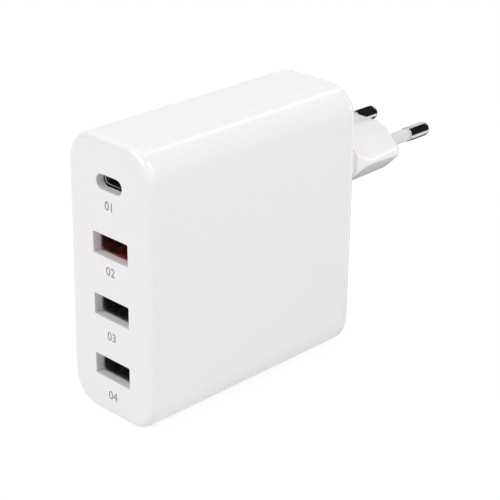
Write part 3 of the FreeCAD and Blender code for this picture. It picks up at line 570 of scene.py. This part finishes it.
def section_at(y):
    """Width, flat top, height and blunt side of the block at a place along Y."""
    rise = (y - BLOCK_ROOT_Y) / (SHOULDER_Y - BLOCK_ROOT_Y)
    run = (y - SHOULDER_Y) / (PLUG_Y - SHOULDER_Y)
    ease = SHOULDER_EASE / (SHOULDER_Y - BLOCK_ROOT_Y)
    past = max(0.0, min(1.0, (rise - 1 + ease) / (2 * ease)))
    share = rise - ease * past * past if rise < 1 + ease else 1.0
    whole = (y - BLOCK_ROOT_Y) / (PLUG_Y - BLOCK_ROOT_Y)
    width = ROOT_SECTION[0] + share * (FRONT_SECTION[0] - ROOT_SECTION[0])
    flat, height = (ROOT_SECTION[k] + whole * (FRONT_SECTION[k] - ROOT_SECTION[k]) for k in (1, 2))
    side = ROOT_SECTION[3] + share * (SHOULDER_SIDE - ROOT_SECTION[3])
    side += max(0.0, run) * (FRONT_SECTION[3] - SHOULDER_SIDE)
    return width, flat, height, side


print("section at the shoulder:", [round(size / MM, 2) for size in section_at(SHOULDER_Y)], "mm")

# %% [markdown]
# ## Soft corners of the block
# The ridges of the block are soft, and its lower flank is rounder than its upper one. A Bevel modifier
# rounds both sides of an edge alike. So each corner of a section becomes a curve of second degree, with
# its own distance to where it starts and where it ends. The nose needs sections set in by an even
# amount, which is a shift of every side along its normal.

# %% Soft corners of the block
TOP_SOFT = 3.4 * MM
SIDE_SOFT = 0.95 * MM
MOST_SOFT = 0.9


def lozenge(section):
    """Eight corners of a section, with how far each is softened before and after it."""
    width, flat, height, side = (size / 2 for size in section)
    right = [(flat, -height), (width, -side), (width, side), (flat, height)]
    corners = [Vector((x, z)) for x, z in right] + [Vector((-x, -z)) for x, z in right]
    short = min(SIDE_SOFT, MOST_SOFT * side)
    long = MOST_SOFT * (math.hypot(width - flat, height - side) - TOP_SOFT)
    top = (TOP_SOFT, TOP_SOFT)
    return corners, [top, (long, short), (short, short), top, top, (short, short), (short, long), top]


def inset_corners(corners, inset):
    """Move every side of a polygon inwards by the same distance."""
    moved = []
    for index, corner in enumerate(corners):
        before = (corner - corners[index - 1]).normalized()
        after = (corners[(index + 1) % len(corners)] - corner).normalized()
        inward = [Vector((-run.y, run.x)) for run in (before, after)]
        moved.append(corner + (inward[0] + inward[1]) * inset / (1 + inward[0].dot(inward[1])))
    return moved


def soften(corners, cuts, steps=8):
    """Replace each corner by a smooth curve that starts and ends a cut away from it."""
    points = []
    for index, (corner, (before, after)) in enumerate(zip(corners, cuts)):
        start = corner + (corners[index - 1] - corner).normalized() * before
        end = corner + (corners[(index + 1) % len(corners)] - corner).normalized() * after
        for step in range(steps + 1):
            share = step / steps
            place = start * (1 - share) ** 2 + corner * 2 * share * (1 - share) + end * share ** 2
            points.append((place.x, PIN_Z + place.y))
    return points


print("points in a soft section:", len(soften(*lozenge(section_at(SHOULDER_Y)))))

# %% [markdown]
# ## Plug block
# With sections and soft corners at hand, the block is a chain of rings: a shallow groove at its root,
# evenly spaced sections along it, and a rounded nose. Lofting a few sections with a subdivision
# surface would need fewer points, but it would pull the nose and the groove out of shape.

# %% Plug block
GROOVE = (0.8 * MM, 0.5 * MM)
GROOVE_EDGE = 0.1 * MM
NOSE_ROUND = 1.5 * MM
SOFT_FADE = 1.9 * MM
BLOCK_STEPS = 26


def make_block():
    bm = bmesh.new()
    front_y = PLUG_Y - NOSE_ROUND
    groove_deep, groove_wide = GROOVE
    start_y = REAR_Y + groove_wide
    stations = [(BLOCK_ROOT_Y, groove_deep), (start_y, groove_deep), (start_y + GROOVE_EDGE, GROOVE_EDGE)]
    stations += [(start_y + (front_y - start_y) * step / BLOCK_STEPS, 0.0)
                 for step in range(1, BLOCK_STEPS)]
    stations += [(front_y + out, inset) for inset, out in quarter(NOSE_ROUND, steps=10)]
    rings = []
    for y, inset in stations:
        corners, cuts = lozenge(section_at(y))
        small = min(1.0, (SOFT_FADE - inset) / SOFT_FADE)
        cuts = [(before * small, after * small) for before, after in cuts]
        rings.append(add_ring(bm, soften(inset_corners(corners, inset), cuts), y))
    chain(bm, rings)
    close_ends(bm, rings)
    return to_object(bm, "plug_block")


block = make_block()
print("block faces:", len(block.data.polygons))

# %% [markdown]
# ## Cover with room for the pins
# The plate and the block are one moulding, hollow behind the plug, with two wells for the collars of
# the pins and two holes for their shanks. Round holes through a shape like this would be hard to build
# ring by ring, and this is what the Boolean modifier is for. Each step is applied at once with the
# exact solver, so the next step starts from a plain, closed mesh.

# %% Cover with room for the pins
PIN_X = (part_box("live_pin")[0].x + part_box("live_pin")[1].x) / 2
COLLAR_ROOM = 2.95 * MM
SHANK_ROOM = 2.35 * MM
BLOCK_WALL = 5 * MM
HOLLOW_HEIGHT = 8 * MM
HOLLOW_CORNER = 0.3 * MM
OVERSHOOT = 1.0 * MM


def make_rod(name, points, start_y, end_y):
    """A closed straight piece with the given outline, used as a cutter."""
    bm = bmesh.new()
    close_ends(bm, chain(bm, [add_ring(bm, points, y) for y in (start_y, end_y)]))
    return to_object(bm, name)


def combine(target, tool, operation):
    """Apply one boolean with another object, which is then removed."""
    step = target.modifiers.new("combine", "BOOLEAN")
    step.operation = operation
    step.solver = "EXACT"
    step.object = tool
    target.modifiers.move(len(target.modifiers) - 1, 0)
    depsgraph = bpy.context.evaluated_depsgraph_get()
    result = bpy.data.meshes.new_from_object(target.evaluated_get(depsgraph))
    name = target.name
    for used in (target, tool):
        bpy.data.objects.remove(used)
    return finish_mesh(result, name)


def make_cover():
    well_y = PLUG_Y - BLOCK_WALL
    inside_y = SEAM_Y - OVERSHOOT
    hollow = rounded_outline(2 * PIN_X, HOLLOW_HEIGHT, HOLLOW_CORNER, PIN_Z, steps=2)
    made = combine(plate, block, "UNION")
    made = combine(made, make_rod("hollow", hollow, inside_y, well_y), "DIFFERENCE")
    for side in (-1, 1):
        well = round_outline(COLLAR_ROOM, side * PIN_X, PIN_Z)
        made = combine(made, make_rod("well", well, inside_y, well_y), "DIFFERENCE")
        hole = round_outline(SHANK_ROOM, side * PIN_X, PIN_Z)
        made = combine(made, make_rod("hole", hole, well_y - OVERSHOOT, PLUG_Y + OVERSHOOT), "DIFFERENCE")
    return made


cover = dress(make_cover(), white_shell, "white_shell", "rear_cover")

# %% [markdown]
# ## A lathe for the pins
# Mains pins and their sleeves are turned or moulded round. The Screw modifier can turn a profile too,
# but it leaves the flat ends open. This helper turns a list of (radius, y) pairs about any axis along
# Y, and closes the ends or, for a tube, joins them.

# %% A lathe for the pins
LATHE_STEPS = 64


def make_lathe(name, profile, centre_x, base_y, centre_z, tube=False):
    """Turn a profile of (radius, y) pairs about an axis along Y."""
    bm = bmesh.new()
    rings = [add_ring(bm, round_outline(radius, centre_x, centre_z, LATHE_STEPS), base_y + y)
             for radius, y in profile]
    chain(bm, rings)
    if tube:
        join_rings(bm, rings[-1], rings[0])
    else:
        close_ends(bm, rings)
    return to_object(bm, name)


print("steps in a turn of the lathe:", LATHE_STEPS)

# %% [markdown]
# ## Mains pins and sleeves
# The pins are turned brass with a bright plated finish. A pin is one profile: tail, collar and shank
# inside the block, a slim core, and a bare end with a round tip. The sleeve is a thin tube of white
# plastic round the core, a little slimmer than the bare end. A painted band on one rod would look
# alike from afar, but the step between sleeve and metal catches the light.

# %% Mains pins and sleeves
PIN_R = 2.0 * MM
PIN_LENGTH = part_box("live_pin")[1].y - PLUG_Y
PIN_TIP = 1.5 * MM
PIN_EDGE = 0.12 * MM
CORE_R = 1.3 * MM
SHANK_R = 2.3 * MM
COLLAR_R, COLLAR_LENGTH = 2.8 * MM, 1.5 * MM
TAIL_R, TAIL_LENGTH = 1.1 * MM, 3.0 * MM
SLEEVE_R = 1.7 * MM
SLEEVE_FIT = 0.05 * MM
SLEEVE_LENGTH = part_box("live_pin_sleeve")[1].y - PLUG_Y

pin_metal = metal("pin_metal", (0.66, 0.655, 0.665), (0.6, 0.595, 0.61), smooth=0.04, rough=0.1,
                  stretch=(3000, 200, 3000), bump=0.02)
sleeve_plastic = plastic("sleeve_plastic", (0.75, 0.74, 0.75), (0.72, 0.71, 0.725), smooth=0.32,
                         rough=0.42)


def pin_profile():
    collar_y = -BLOCK_WALL - COLLAR_LENGTH
    inner = [(TAIL_R, collar_y - TAIL_LENGTH), (TAIL_R, collar_y), (COLLAR_R, collar_y),
             (COLLAR_R, -BLOCK_WALL), (SHANK_R, -BLOCK_WALL), (SHANK_R, 0), (CORE_R, 0),
             (CORE_R, SLEEVE_LENGTH)]
    shoulder = [(PIN_R - inset, SLEEVE_LENGTH + PIN_EDGE - out)
                for inset, out in reversed(quarter(PIN_EDGE, steps=4))]
    tip = [(PIN_R - inset, PIN_LENGTH - PIN_TIP + out) for inset, out in quarter(PIN_TIP, steps=10)]
    return inner + shoulder + tip


def sleeve_profile():
    bore = CORE_R + SLEEVE_FIT
    far = [(SLEEVE_R - inset, SLEEVE_LENGTH - PIN_EDGE + out)
           for inset, out in quarter(PIN_EDGE, steps=4)]
    return [(bore, 0), (SLEEVE_R, 0), *far, (bore, SLEEVE_LENGTH)]


for name, side in (("live", 1), ("neutral", -1)):
    pin = make_lathe(name + "_plug_pin", pin_profile(), side * PIN_X, PLUG_Y, PIN_Z)
    dress(pin, pin_metal, "pin_metal", name + "_pin")
    sleeve = make_lathe(name + "_plug_sleeve", sleeve_profile(), side * PIN_X, PLUG_Y, PIN_Z, tube=True)
    dress(sleeve, sleeve_plastic, "sleeve_plastic", name + "_pin_sleeve")

# %% [markdown]
# ## Socket finishes
# Behind each cut-out sits a folded steel shell with a plastic tongue and gilt contacts. Only their
# mouths show, deep in shadow, and a black hole would almost do. But the red tongue tints its socket,
# and the steel picks the tint up, so the finishes are real ones and the shadow is left to the light.

# %% Socket finishes
socket_steel = metal("socket_steel", (0.56, 0.555, 0.56), (0.48, 0.475, 0.48), smooth=0.2, rough=0.3,
                     stretch=(900, 4000, 900))
insulators = {"black_insulator": plastic("black_insulator", (0.1, 0.096, 0.1), (0.12, 0.116, 0.12)),
              "red_insulator": plastic("red_insulator", (0.86, 0.06, 0.07), (0.78, 0.05, 0.06))}
print("socket finishes:", socket_steel.name, *insulators)

# %% [markdown]
# ## Springs
# The larger shells have springs, strips of the same sheet that bow into the mouth and grip a plug. They
# could be cut free in the wall, as the press does it. But the slits round them would be lost in the
# shadow, so each spring is a thin curved strip whose two ends sink into the wall.

# %% Springs
SHEET = 0.3 * MM
SPRING_X = 2.9 * MM
SPRING_WIDTH = 2.2 * MM
SPRING_START, SPRING_END = 1.6 * MM, 7.0 * MM
SPRING_BOW = 0.4 * MM
SPRING_SUNK = 0.6
SPRING_CORNER = 0.1 * MM
SPRING_STEPS = 16


def add_spring(bm, mid_x, wall_z, inward, mouth_y):
    """A strip of the sheet that bows into the mouth and grips the plug."""
    rings = []
    for step in range(SPRING_STEPS + 1):
        share = step / SPRING_STEPS
        bow = SPRING_BOW * math.sin(math.pi * share) ** 2 - SHEET * SPRING_SUNK
        strip = rounded_outline(SPRING_WIDTH, SHEET, SPRING_CORNER, wall_z + inward * bow, mid_x, steps=3)
        rings.append(add_ring(bm, strip, mouth_y + SPRING_START + share * (SPRING_END - SPRING_START)))
    chain(bm, rings)
    close_ends(bm, rings)


print("spring length:", round((SPRING_END - SPRING_START) / MM, 2), "mm")

# %% [markdown]
# ## Shells
# A shell is sheet steel folded into a tube, with a rounded rim and two legs that go through the board.
# The mouths of the larger ones flare out to lead a plug in. A Solidify modifier could give a thin tube
# its wall, but not the flare and the round rim, which catch what light there is. So the rings run
# along the outside, round the rim and back along the inside.

# %% Shells
A_MOUTH = (12.5 * MM, 5.12 * MM, 0.45 * MM)
C_MOUTH = (8.34 * MM, 2.56 * MM, 1.279 * MM)
FLARE, FLARE_LENGTH = 0.36 * MM, 0.9 * MM
LEG_THICK, LEG_HEIGHT, LEG_CORNER = 0.3 * MM, 1.0 * MM, 0.05 * MM
RIM_STEPS = 6
SHELL_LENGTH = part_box("port_board")[0].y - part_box("usb_c_shell")[0].y


def make_shell(name, node, mouth, flare=0.0, springs=()):
    """A folded tube with a rounded rim, springs and two legs that go through the board."""
    low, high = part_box(node)
    width, height, corner = mouth
    mid_z = (low.z + high.z) / 2
    rim = SHEET / 2
    straight_y = low.y + FLARE_LENGTH
    end_y = low.y + SHELL_LENGTH
    bm = bmesh.new()

    def wall(out, y):
        outline = rounded_outline(width + 2 * out, height + 2 * out, corner + out, mid_z, steps=6)
        return add_ring(bm, outline, y)

    rings = [wall(SHEET, end_y), wall(SHEET, straight_y)]
    for step in range(RIM_STEPS + 1):
        turn = math.pi * step / RIM_STEPS
        rings.append(wall(flare + rim + rim * math.cos(turn), low.y + rim - rim * math.sin(turn)))
    rings += [wall(0, straight_y), wall(0, end_y)]
    chain(bm, rings)
    join_rings(bm, rings[-1], rings[0])
    for side in (-1, 1):
        leg_x = side * (width + SHEET) / 2
        leg = rounded_outline(LEG_THICK, LEG_HEIGHT, LEG_CORNER, mid_z, leg_x, steps=2)
        close_ends(bm, chain(bm, [add_ring(bm, leg, y) for y in (end_y, high.y)]))
    for mid_x in springs:
        for inward in (-1, 1):
            add_spring(bm, mid_x, mid_z - inward * height / 2, inward, low.y)
    return to_object(bm, name)


for name in A_PORTS:
    shell = make_shell(name + "_socket_shell", name + "_shell", A_MOUTH, FLARE, (-SPRING_X, SPRING_X))
    dress(shell, socket_steel, "socket_steel", name + "_shell")
c_shell = make_shell("usb_c_socket_shell", "usb_c_shell", C_MOUTH)
dress(c_shell, socket_steel, "socket_steel", "usb_c_shell")

# %% [markdown]
# ## Tongues
# In each shell a plastic tongue carries the contacts. It grows out of a block at the board, and its tip
# is chamfered so that a plug slides over it. One extruded T would have no chamfer, so the tongue and
# the block are two closed chains of rings, sunk a hair into each other. The upper large socket has a
# red tongue and the others have black ones.

# %% Tongues
A_TONGUE = (11.1 * MM, 1.84 * MM, 0.98 * MM)
C_TONGUE = (6.7 * MM, 0.7 * MM, 0.0)
TONGUE_CHAMFER = 0.2 * MM
TONGUE_CORNER = 0.1 * MM
TONGUE_SUNK = 0.01 * MM
A_BLOCK = (12.4 * MM, 5.02 * MM, 0.3 * MM)
A_BLOCK_DEPTH = 4 * MM
C_BLOCK = (8.24 * MM, 2.46 * MM, 1.22 * MM)
C_BLOCK_DEPTH = 7 * MM
RED_PORT = "usb_a_1"


def make_tongue(name, node, tongue, block_section, block_depth):
    """A block at the board with a chamfered tongue in front of it."""
    low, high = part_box(node)
    mid_z = middle_z(node.replace("insulator", "shell"))
    width, thick, rise = tongue
    block_y = high.y - block_depth
    bm = bmesh.new()
    rings = []
    for inset, y in ((TONGUE_CHAMFER, low.y), (0, low.y + TONGUE_CHAMFER), (0, block_y + TONGUE_SUNK)):
        outline = rounded_outline(width - 2 * inset, thick - 2 * inset, TONGUE_CORNER, mid_z + rise,
                                  steps=3)
        rings.append(add_ring(bm, outline, y))
    close_ends(bm, chain(bm, rings))
    outline = rounded_outline(*block_section, mid_z, steps=6)
    close_ends(bm, chain(bm, [add_ring(bm, outline, y) for y in (block_y, high.y)]))
    return to_object(bm, name)


for name in A_PORTS:
    slot = "red_insulator" if name == RED_PORT else "black_insulator"
    tongue = make_tongue(name + "_socket_tongue", name + "_insulator", A_TONGUE, A_BLOCK, A_BLOCK_DEPTH)
    dress(tongue, insulators[slot], slot, name + "_insulator")
c_tongue = make_tongue("usb_c_socket_tongue", "usb_c_insulator", C_TONGUE, C_BLOCK, C_BLOCK_DEPTH)
dress(c_tongue, insulators["black_insulator"], "black_insulator", "usb_c_insulator")

# %% [markdown]
# ## Port numbers
# A plain number under each socket tells the ports apart. On the case it would be grey ink, a few
# hundredths of a millimetre thick. An image on the face would be blurred close up. A text object stays
# sharp, and its mesh, extruded to the thickness of the ink, lies on the face as a thin solid.

# %% Port numbers
INK_THICK = 0.02 * MM
FIGURE_HEIGHT = 2.3 * MM
FIGURE_SHARE = 0.7
NUMBER_DROP = {"usb_c": 5.8 * MM, "usb_a_1": 6.4 * MM, "usb_a_2": 7.45 * MM, "usb_a_3": 7.4 * MM}
print_grey = plastic("print_grey", (0.2, 0.198, 0.2), (0.17, 0.168, 0.17), smooth=0.45, rough=0.6)


def make_number(name, text, mid_z):
    words = bpy.data.curves.new(name, "FONT")
    words.body = text
    words.align_x = "CENTER"
    words.align_y = "CENTER"
    words.size = FIGURE_HEIGHT / FIGURE_SHARE
    words.resolution_u = 6
    words.extrude = INK_THICK / 2
    drawn = add_object(name + "_text", words)
    mesh = bpy.data.meshes.new_from_object(drawn.evaluated_get(bpy.context.evaluated_depsgraph_get()))
    bpy.data.objects.remove(drawn)
    upright = Matrix.Rotation(math.pi / 2, 4, "X")
    mesh.transform(Matrix.Translation((0, FRONT_Y - INK_THICK / 2, mid_z)) @ upright)
    return add_object(name, mesh)


for number, name in enumerate(("usb_c", *A_PORTS), start=1):
    number_z = middle_z(name + "_shell") - NUMBER_DROP[name]
    mark = make_number(f"port_number_{number}", f"0{number}", number_z)
    dress(mark, print_grey, "white_shell")

# %% [markdown]
# ## Parts inside the case
# The boards and the parts on them keep their CAD shapes, which are right as they are. They are closed
# away and could stay plain, but whoever opens the case should find real finishes. Each is the plastic
# or the metal from above with its own colours, gloss and grain, so a table of values is enough.

# %% Inner finishes
INNER_PLASTICS = {
    "board_laminate": dict(color=(0.02, 0.16, 0.07), shade=(0.03, 0.2, 0.09),
                           smooth=0.35, rough=0.5, grain=900.0),
    "ferrite": dict(color=(0.05, 0.05, 0.052), shade=(0.08, 0.08, 0.08),
                    smooth=0.6, rough=0.8, grain=4000.0, bump=0.3),
    "bobbin_plastic": dict(color=(0.03, 0.03, 0.03), shade=(0.04, 0.04, 0.042)),
    "winding_tape": dict(color=(0.75, 0.52, 0.06), shade=(0.66, 0.44, 0.05),
                         smooth=0.22, rough=0.35, grain=700.0),
    "film_box": dict(color=(0.72, 0.56, 0.1), shade=(0.64, 0.5, 0.09)),
    "fuse_body": dict(color=(0.05, 0.04, 0.035), shade=(0.07, 0.06, 0.05)),
    "disc_coating": dict(color=(0.03, 0.12, 0.42), shade=(0.04, 0.15, 0.5), smooth=0.15, rough=0.25),
    "package_epoxy": dict(color=(0.03, 0.03, 0.032), shade=(0.045, 0.045, 0.047),
                          smooth=0.5, rough=0.65, bump=0.25),
    "sheet_film": dict(color=(0.66, 0.66, 0.62), shade=(0.6, 0.6, 0.56)),
    "inductor_block": dict(color=(0.1, 0.1, 0.105), shade=(0.14, 0.14, 0.145),
                           smooth=0.55, rough=0.7, bump=0.25),
    "lead_insulation": dict(color=(0.03, 0.03, 0.03), shade=(0.045, 0.045, 0.045),
                            smooth=0.45, rough=0.6),
}
INNER_METALS = {
    "copper_wire": dict(color=(0.72, 0.3, 0.14), shade=(0.5, 0.19, 0.08),
                        smooth=0.2, rough=0.38, stretch=(2500, 2500, 300)),
    "can_aluminium": dict(color=(0.6, 0.61, 0.63), shade=(0.5, 0.51, 0.53), smooth=0.25, rough=0.4),
    "spreader_metal": dict(color=(0.62, 0.63, 0.64), shade=(0.5, 0.51, 0.52),
                           smooth=0.28, rough=0.45, stretch=(4000, 60, 1500)),
    "contact_gold": dict(color=(0.83, 0.62, 0.26), shade=(0.7, 0.5, 0.2), smooth=0.18, rough=0.32),
}
inner = {slot: plastic(slot, **look) for slot, look in INNER_PLASTICS.items()}
inner.update({slot: metal(slot, **look) for slot, look in INNER_METALS.items()})
print("inner finishes:", len(inner))

# %% [markdown]
# ## Dressing the inner parts
# The record says which finish each CAD node takes. Setting the materials by hand would be a list of
# more than thirty names to keep up to date, so a loop reads the record and fills each node's material
# slot. The shape of the node isn't touched.

# %% Dress the inner parts
dressed = 0
for row in frame["record"]["subparts"]:
    if row["material_slot"] in inner:
        node = frame["nodes"][row["node"]]
        node.data.materials.clear()
        node.data.materials.append(inner[row["material_slot"]])
        dressed += 1
print("inner parts dressed:", dressed)

# %% [markdown]
# ## Rays that see the backdrop
# A catalogue picture stands on pure white. Lamps strong enough to bleach the floor would bleach the
# charger too. Instead, the Light Path node tells which rays look at the backdrop: those of the camera,
# and those that metal or glass sends on. Only these get plain white. All other rays find a floor and a
# dome that light the object at an even level.

# %% Rays that see the backdrop
BACKDROP_RAYS = ("Is Camera Ray", "Is Glossy Ray", "Is Transmission Ray")


def seen_rays(tree):
    """1 for rays from the camera and for those a mirror or a glass sends on, else 0."""
    rays = add_node(tree, "ShaderNodeLightPath").outputs
    total = rays[BACKDROP_RAYS[0]]
    for label in BACKDROP_RAYS[1:]:
        larger = add_node(tree, "ShaderNodeMath", operation="MAXIMUM")
        link(tree, (total, larger.inputs[0]), (rays[label], larger.inputs[1]))
        total = larger.outputs["Value"]
    return total


def choose(tree, factor, one, other):
    """Mix two shaders by a factor from 0 to 1."""
    mixed = add_node(tree, "ShaderNodeMixShader")
    link(tree, (factor, mixed.inputs["Fac"]), (one, mixed.inputs[1]), (other, mixed.inputs[2]))
    return mixed.outputs["Shader"]


print("rays that see plain white:", ", ".join(BACKDROP_RAYS))

# %% [markdown]
# ## Floor paper
# The floor is a sheet of pale paper that has to look white and still keep the object's soft shadow. A
# shadow catcher would need a second picture behind it. Here the seen floor glows almost to white and
# adds a dark paper on top, so a shadow takes away only that last part. Further out, where no shadow
# falls, it fades to plain white, and no horizon shows.

# %% Floor paper
FLOOR_PAPER = (0.86, 0.855, 0.86)
FLOOR_SHADOW = (0.16, 0.158, 0.16)
FLOOR_LIFT = 0.88
SHADOW_REACH = (0.2, 0.6)


def paper(tree, color):
    node = add_node(tree, "ShaderNodeBsdfDiffuse")
    node.inputs["Color"].default_value = (*color, 1)
    return node.outputs["BSDF"]


def glow(tree, strength):
    node = add_node(tree, "ShaderNodeEmission")
    node.inputs["Strength"].default_value = strength
    return node.outputs["Emission"]


def away_from_object(tree):
    """0 near the object, 1 beyond the reach of its shadow."""
    reach = add_node(tree, "ShaderNodeVectorMath", operation="LENGTH")
    away = add_node(tree, "ShaderNodeMapRange", interpolation_type="SMOOTHSTEP")
    away.inputs["From Min"].default_value, away.inputs["From Max"].default_value = SHADOW_REACH
    link(tree, (add_node(tree, "ShaderNodeTexCoord").outputs["Object"], reach.inputs[0]),
         (reach.outputs["Value"], away.inputs["Value"]))
    return away.outputs["Result"]


def floor_paper():
    material = bpy.data.materials.new("floor_paper")
    material.use_nodes = True
    tree = material.node_tree
    tree.nodes.clear()
    lifted = add_node(tree, "ShaderNodeAddShader")
    link(tree, (paper(tree, FLOOR_SHADOW), lifted.inputs[0]), (glow(tree, FLOOR_LIFT), lifted.inputs[1]))
    seen = choose(tree, away_from_object(tree), lifted.outputs["Shader"], glow(tree, 1.0))
    surface = choose(tree, seen_rays(tree), paper(tree, FLOOR_PAPER), seen)
    link(tree, (surface, add_node(tree, "ShaderNodeOutputMaterial").inputs["Surface"]))
    return material


print("shadow fades out from", SHADOW_REACH[0], "to", SHADOW_REACH[1], "m")

# %% [markdown]
# ## Floor
# The paper lies under the charger and reaches past every view. A curved sweep would hide a horizon, but
# this paper is white out there already, so a flat grid is enough.

# %% Floor
FLOOR_HALF = 3.0
FLOOR_SQUARES = 8


def make_floor():
    bm = bmesh.new()
    bmesh.ops.create_grid(bm, x_segments=FLOOR_SQUARES, y_segments=FLOOR_SQUARES, size=FLOOR_HALF)
    floor = add_object("floor", mesh_from(bm, "floor"))
    floor.data.materials.append(floor_paper())
    print("floor width:", 2 * FLOOR_HALF, "m")


make_floor()

# %% [markdown]
# ## Dome
# In a studio tent soft light comes from everywhere. An environment picture would bring its own shapes
# into every reflection, so the world is plain: half strength for the rays that light the object, and
# full white for the rays that see it.

# %% Dome
DOME_STRENGTH = 0.5


def background(tree, strength):
    node = add_node(tree, "ShaderNodeBackground")
    node.inputs["Color"].default_value = (1, 1, 1, 1)
    node.inputs["Strength"].default_value = strength
    return node.outputs["Background"]


def make_dome():
    scene.world = bpy.data.worlds.new("studio")
    scene.world.use_nodes = True
    tree = scene.world.node_tree
    tree.nodes.clear()
    sky = choose(tree, seen_rays(tree), background(tree, DOME_STRENGTH), background(tree, 1.0))
    link(tree, (sky, add_node(tree, "ShaderNodeOutputWorld").inputs["Surface"]))
    print("dome strength:", DOME_STRENGTH)


make_dome()

# %% [markdown]
# ## Black cards
# Bright metal shows nothing but its surroundings, so in an all-white room the pins would vanish.
# Photographers hold black cards near, just out of the picture. One card curves round both pins, a small
# one round the far pin, one stands beyond the tips and one faces the port side. The one that lies on the
# floor behind the case is painted shade: it stands in for the shade there, so the lower faces of the
# plug block reflect it dark.
# They act on reflections alone, so they take no light from the case and cast no shadow.

# %% Card maker
card_black = plastic("card_black", (0.008, 0.008, 0.008), (0.012, 0.012, 0.012), smooth=0.8, rough=0.9)


def make_card(name, rows):
    """A black sheet through rows of points, seen in reflections alone."""
    bm = bmesh.new()
    points = [[bm.verts.new(place) for place in row] for row in rows]
    for one, other in zip(points, points[1:]):
        for step in range(len(one) - 1):
            bm.faces.new((one[step], one[step + 1], other[step + 1], other[step]))
    card = add_object(name, mesh_from(bm, name))
    card.data.materials.append(card_black)
    card.visible_camera = False
    card.visible_diffuse = False
    card.visible_shadow = False
    card.visible_transmission = False
    print(name, "faces:", len(card.data.polygons))


def curved_rows(radius, mid_x, degrees, along, steps):
    """Two rows of points on an arc about an axis along Y, at the height of the pins."""
    start, end = (math.radians(angle) for angle in degrees)
    turns = [start + (end - start) * step / steps for step in range(steps + 1)]
    return [[(radius * math.cos(turn) + mid_x, y, PIN_Z + radius * math.sin(turn)) for turn in turns]
            for y in along]


print("card finish:", card_black.name)

# %% [markdown]
# ## Placing the cards
# Where a card goes follows from the mirror rule: it has to stand where a ray from the camera leaves the
# pin. Trial and error in the viewport finds the same places more slowly. The ends of the arcs decide
# how wide the dark band on a pin is and where its bright edges begin.

# %% Cards
PIN_CARD = dict(radius=0.08, mid_x=0.0, degrees=(-20, 96), along=(0.114, 0.19), steps=32)
FAR_PIN_CARD = dict(radius=0.02, mid_x=-PIN_X, degrees=(78, 175), along=(0.078, 0.094), steps=16)
TIP_CARD_X, TIP_CARD_Y, TIP_CARD_Z = (-0.06, 0.14), 0.25, (0.0, 0.13)
FRONT_CARD_ENDS, FRONT_CARD_Z = ((-0.62, -0.20), (-0.20, -0.66)), (0.03, 0.55)
FLOOR_SHADE_CARD_X, FLOOR_SHADE_CARD_Y, FLOOR_SHADE_CARD_Z = (-0.22, 0.02), (0.05, 0.34), 0.001

make_card("pin_card", curved_rows(**PIN_CARD))
make_card("far_pin_card", curved_rows(**FAR_PIN_CARD))
make_card("tip_card", [[(x, TIP_CARD_Y, z) for x in TIP_CARD_X] for z in TIP_CARD_Z])
make_card("front_card", [[(x, y, z) for x, y in FRONT_CARD_ENDS] for z in FRONT_CARD_Z])
# Painted shade: a black sheet on the floor behind the case, where the case would shade the floor, seen
# only in reflections.
make_card("floor_shade_card", [[(x, y, FLOOR_SHADE_CARD_Z) for x in FLOOR_SHADE_CARD_X] for y in FLOOR_SHADE_CARD_Y])

# %% [markdown]
# ## Lamps
# The dome alone would leave the case flat. A large lamp lights the port face, a smaller one the broad
# side, and a long strip above and behind draws the bright line along the top edge. A tiny one lights the
# plug block and picks out its ridge. It is linked to the cover alone, because on the rest of the case
# it would show as a spot. All are rectangular area lamps, whose size sets how soft an edge of light is.

# %% Lamps
TOP_OF_BODY = Vector((0, 0, HEIGHT))
RIDGE_MIDDLE = Vector((cover_high.x, 0.047, PIN_Z))


def add_lamp(name, towards, distance, width, length, power, aim=TOP_OF_BODY):
    """A rectangular lamp that looks at a place from a direction."""
    light = bpy.data.lights.new(name, "AREA")
    light.shape = "RECTANGLE"
    light.size = width
    light.size_y = length
    light.energy = power
    lamp = add_object(name, light)
    lamp.location = aim + Vector(towards).normalized() * distance
    lamp.rotation_euler = (lamp.location - aim).to_track_quat("Z", "Y").to_euler()
    lamp.visible_camera = False
    print(name, "power:", power, "W")
    return lamp


add_lamp("edge_strip", towards=(-0.065, 0.646, 0.762), distance=0.9, width=0.05, length=0.7, power=0.68)
add_lamp("front_lamp", towards=(-0.3, -0.85, 0.6), distance=1.8, width=1.4, length=0.8, power=13.8)
add_lamp("side_lamp", towards=(0.7, 0.1, 0.7), distance=0.9, width=0.5, length=0.5, power=3.33)
ridge_lamp = add_lamp("ridge_lamp", towards=(0.67, 0.65, 0.37), distance=0.12, width=0.03, length=0.03,
                      power=0.014, aim=RIDGE_MIDDLE)
lit_by_ridge = bpy.data.collections.new("lit_by_ridge_lamp")
lit_by_ridge.objects.link(cover)
ridge_lamp.light_linking.receiver_collection = lit_by_ridge
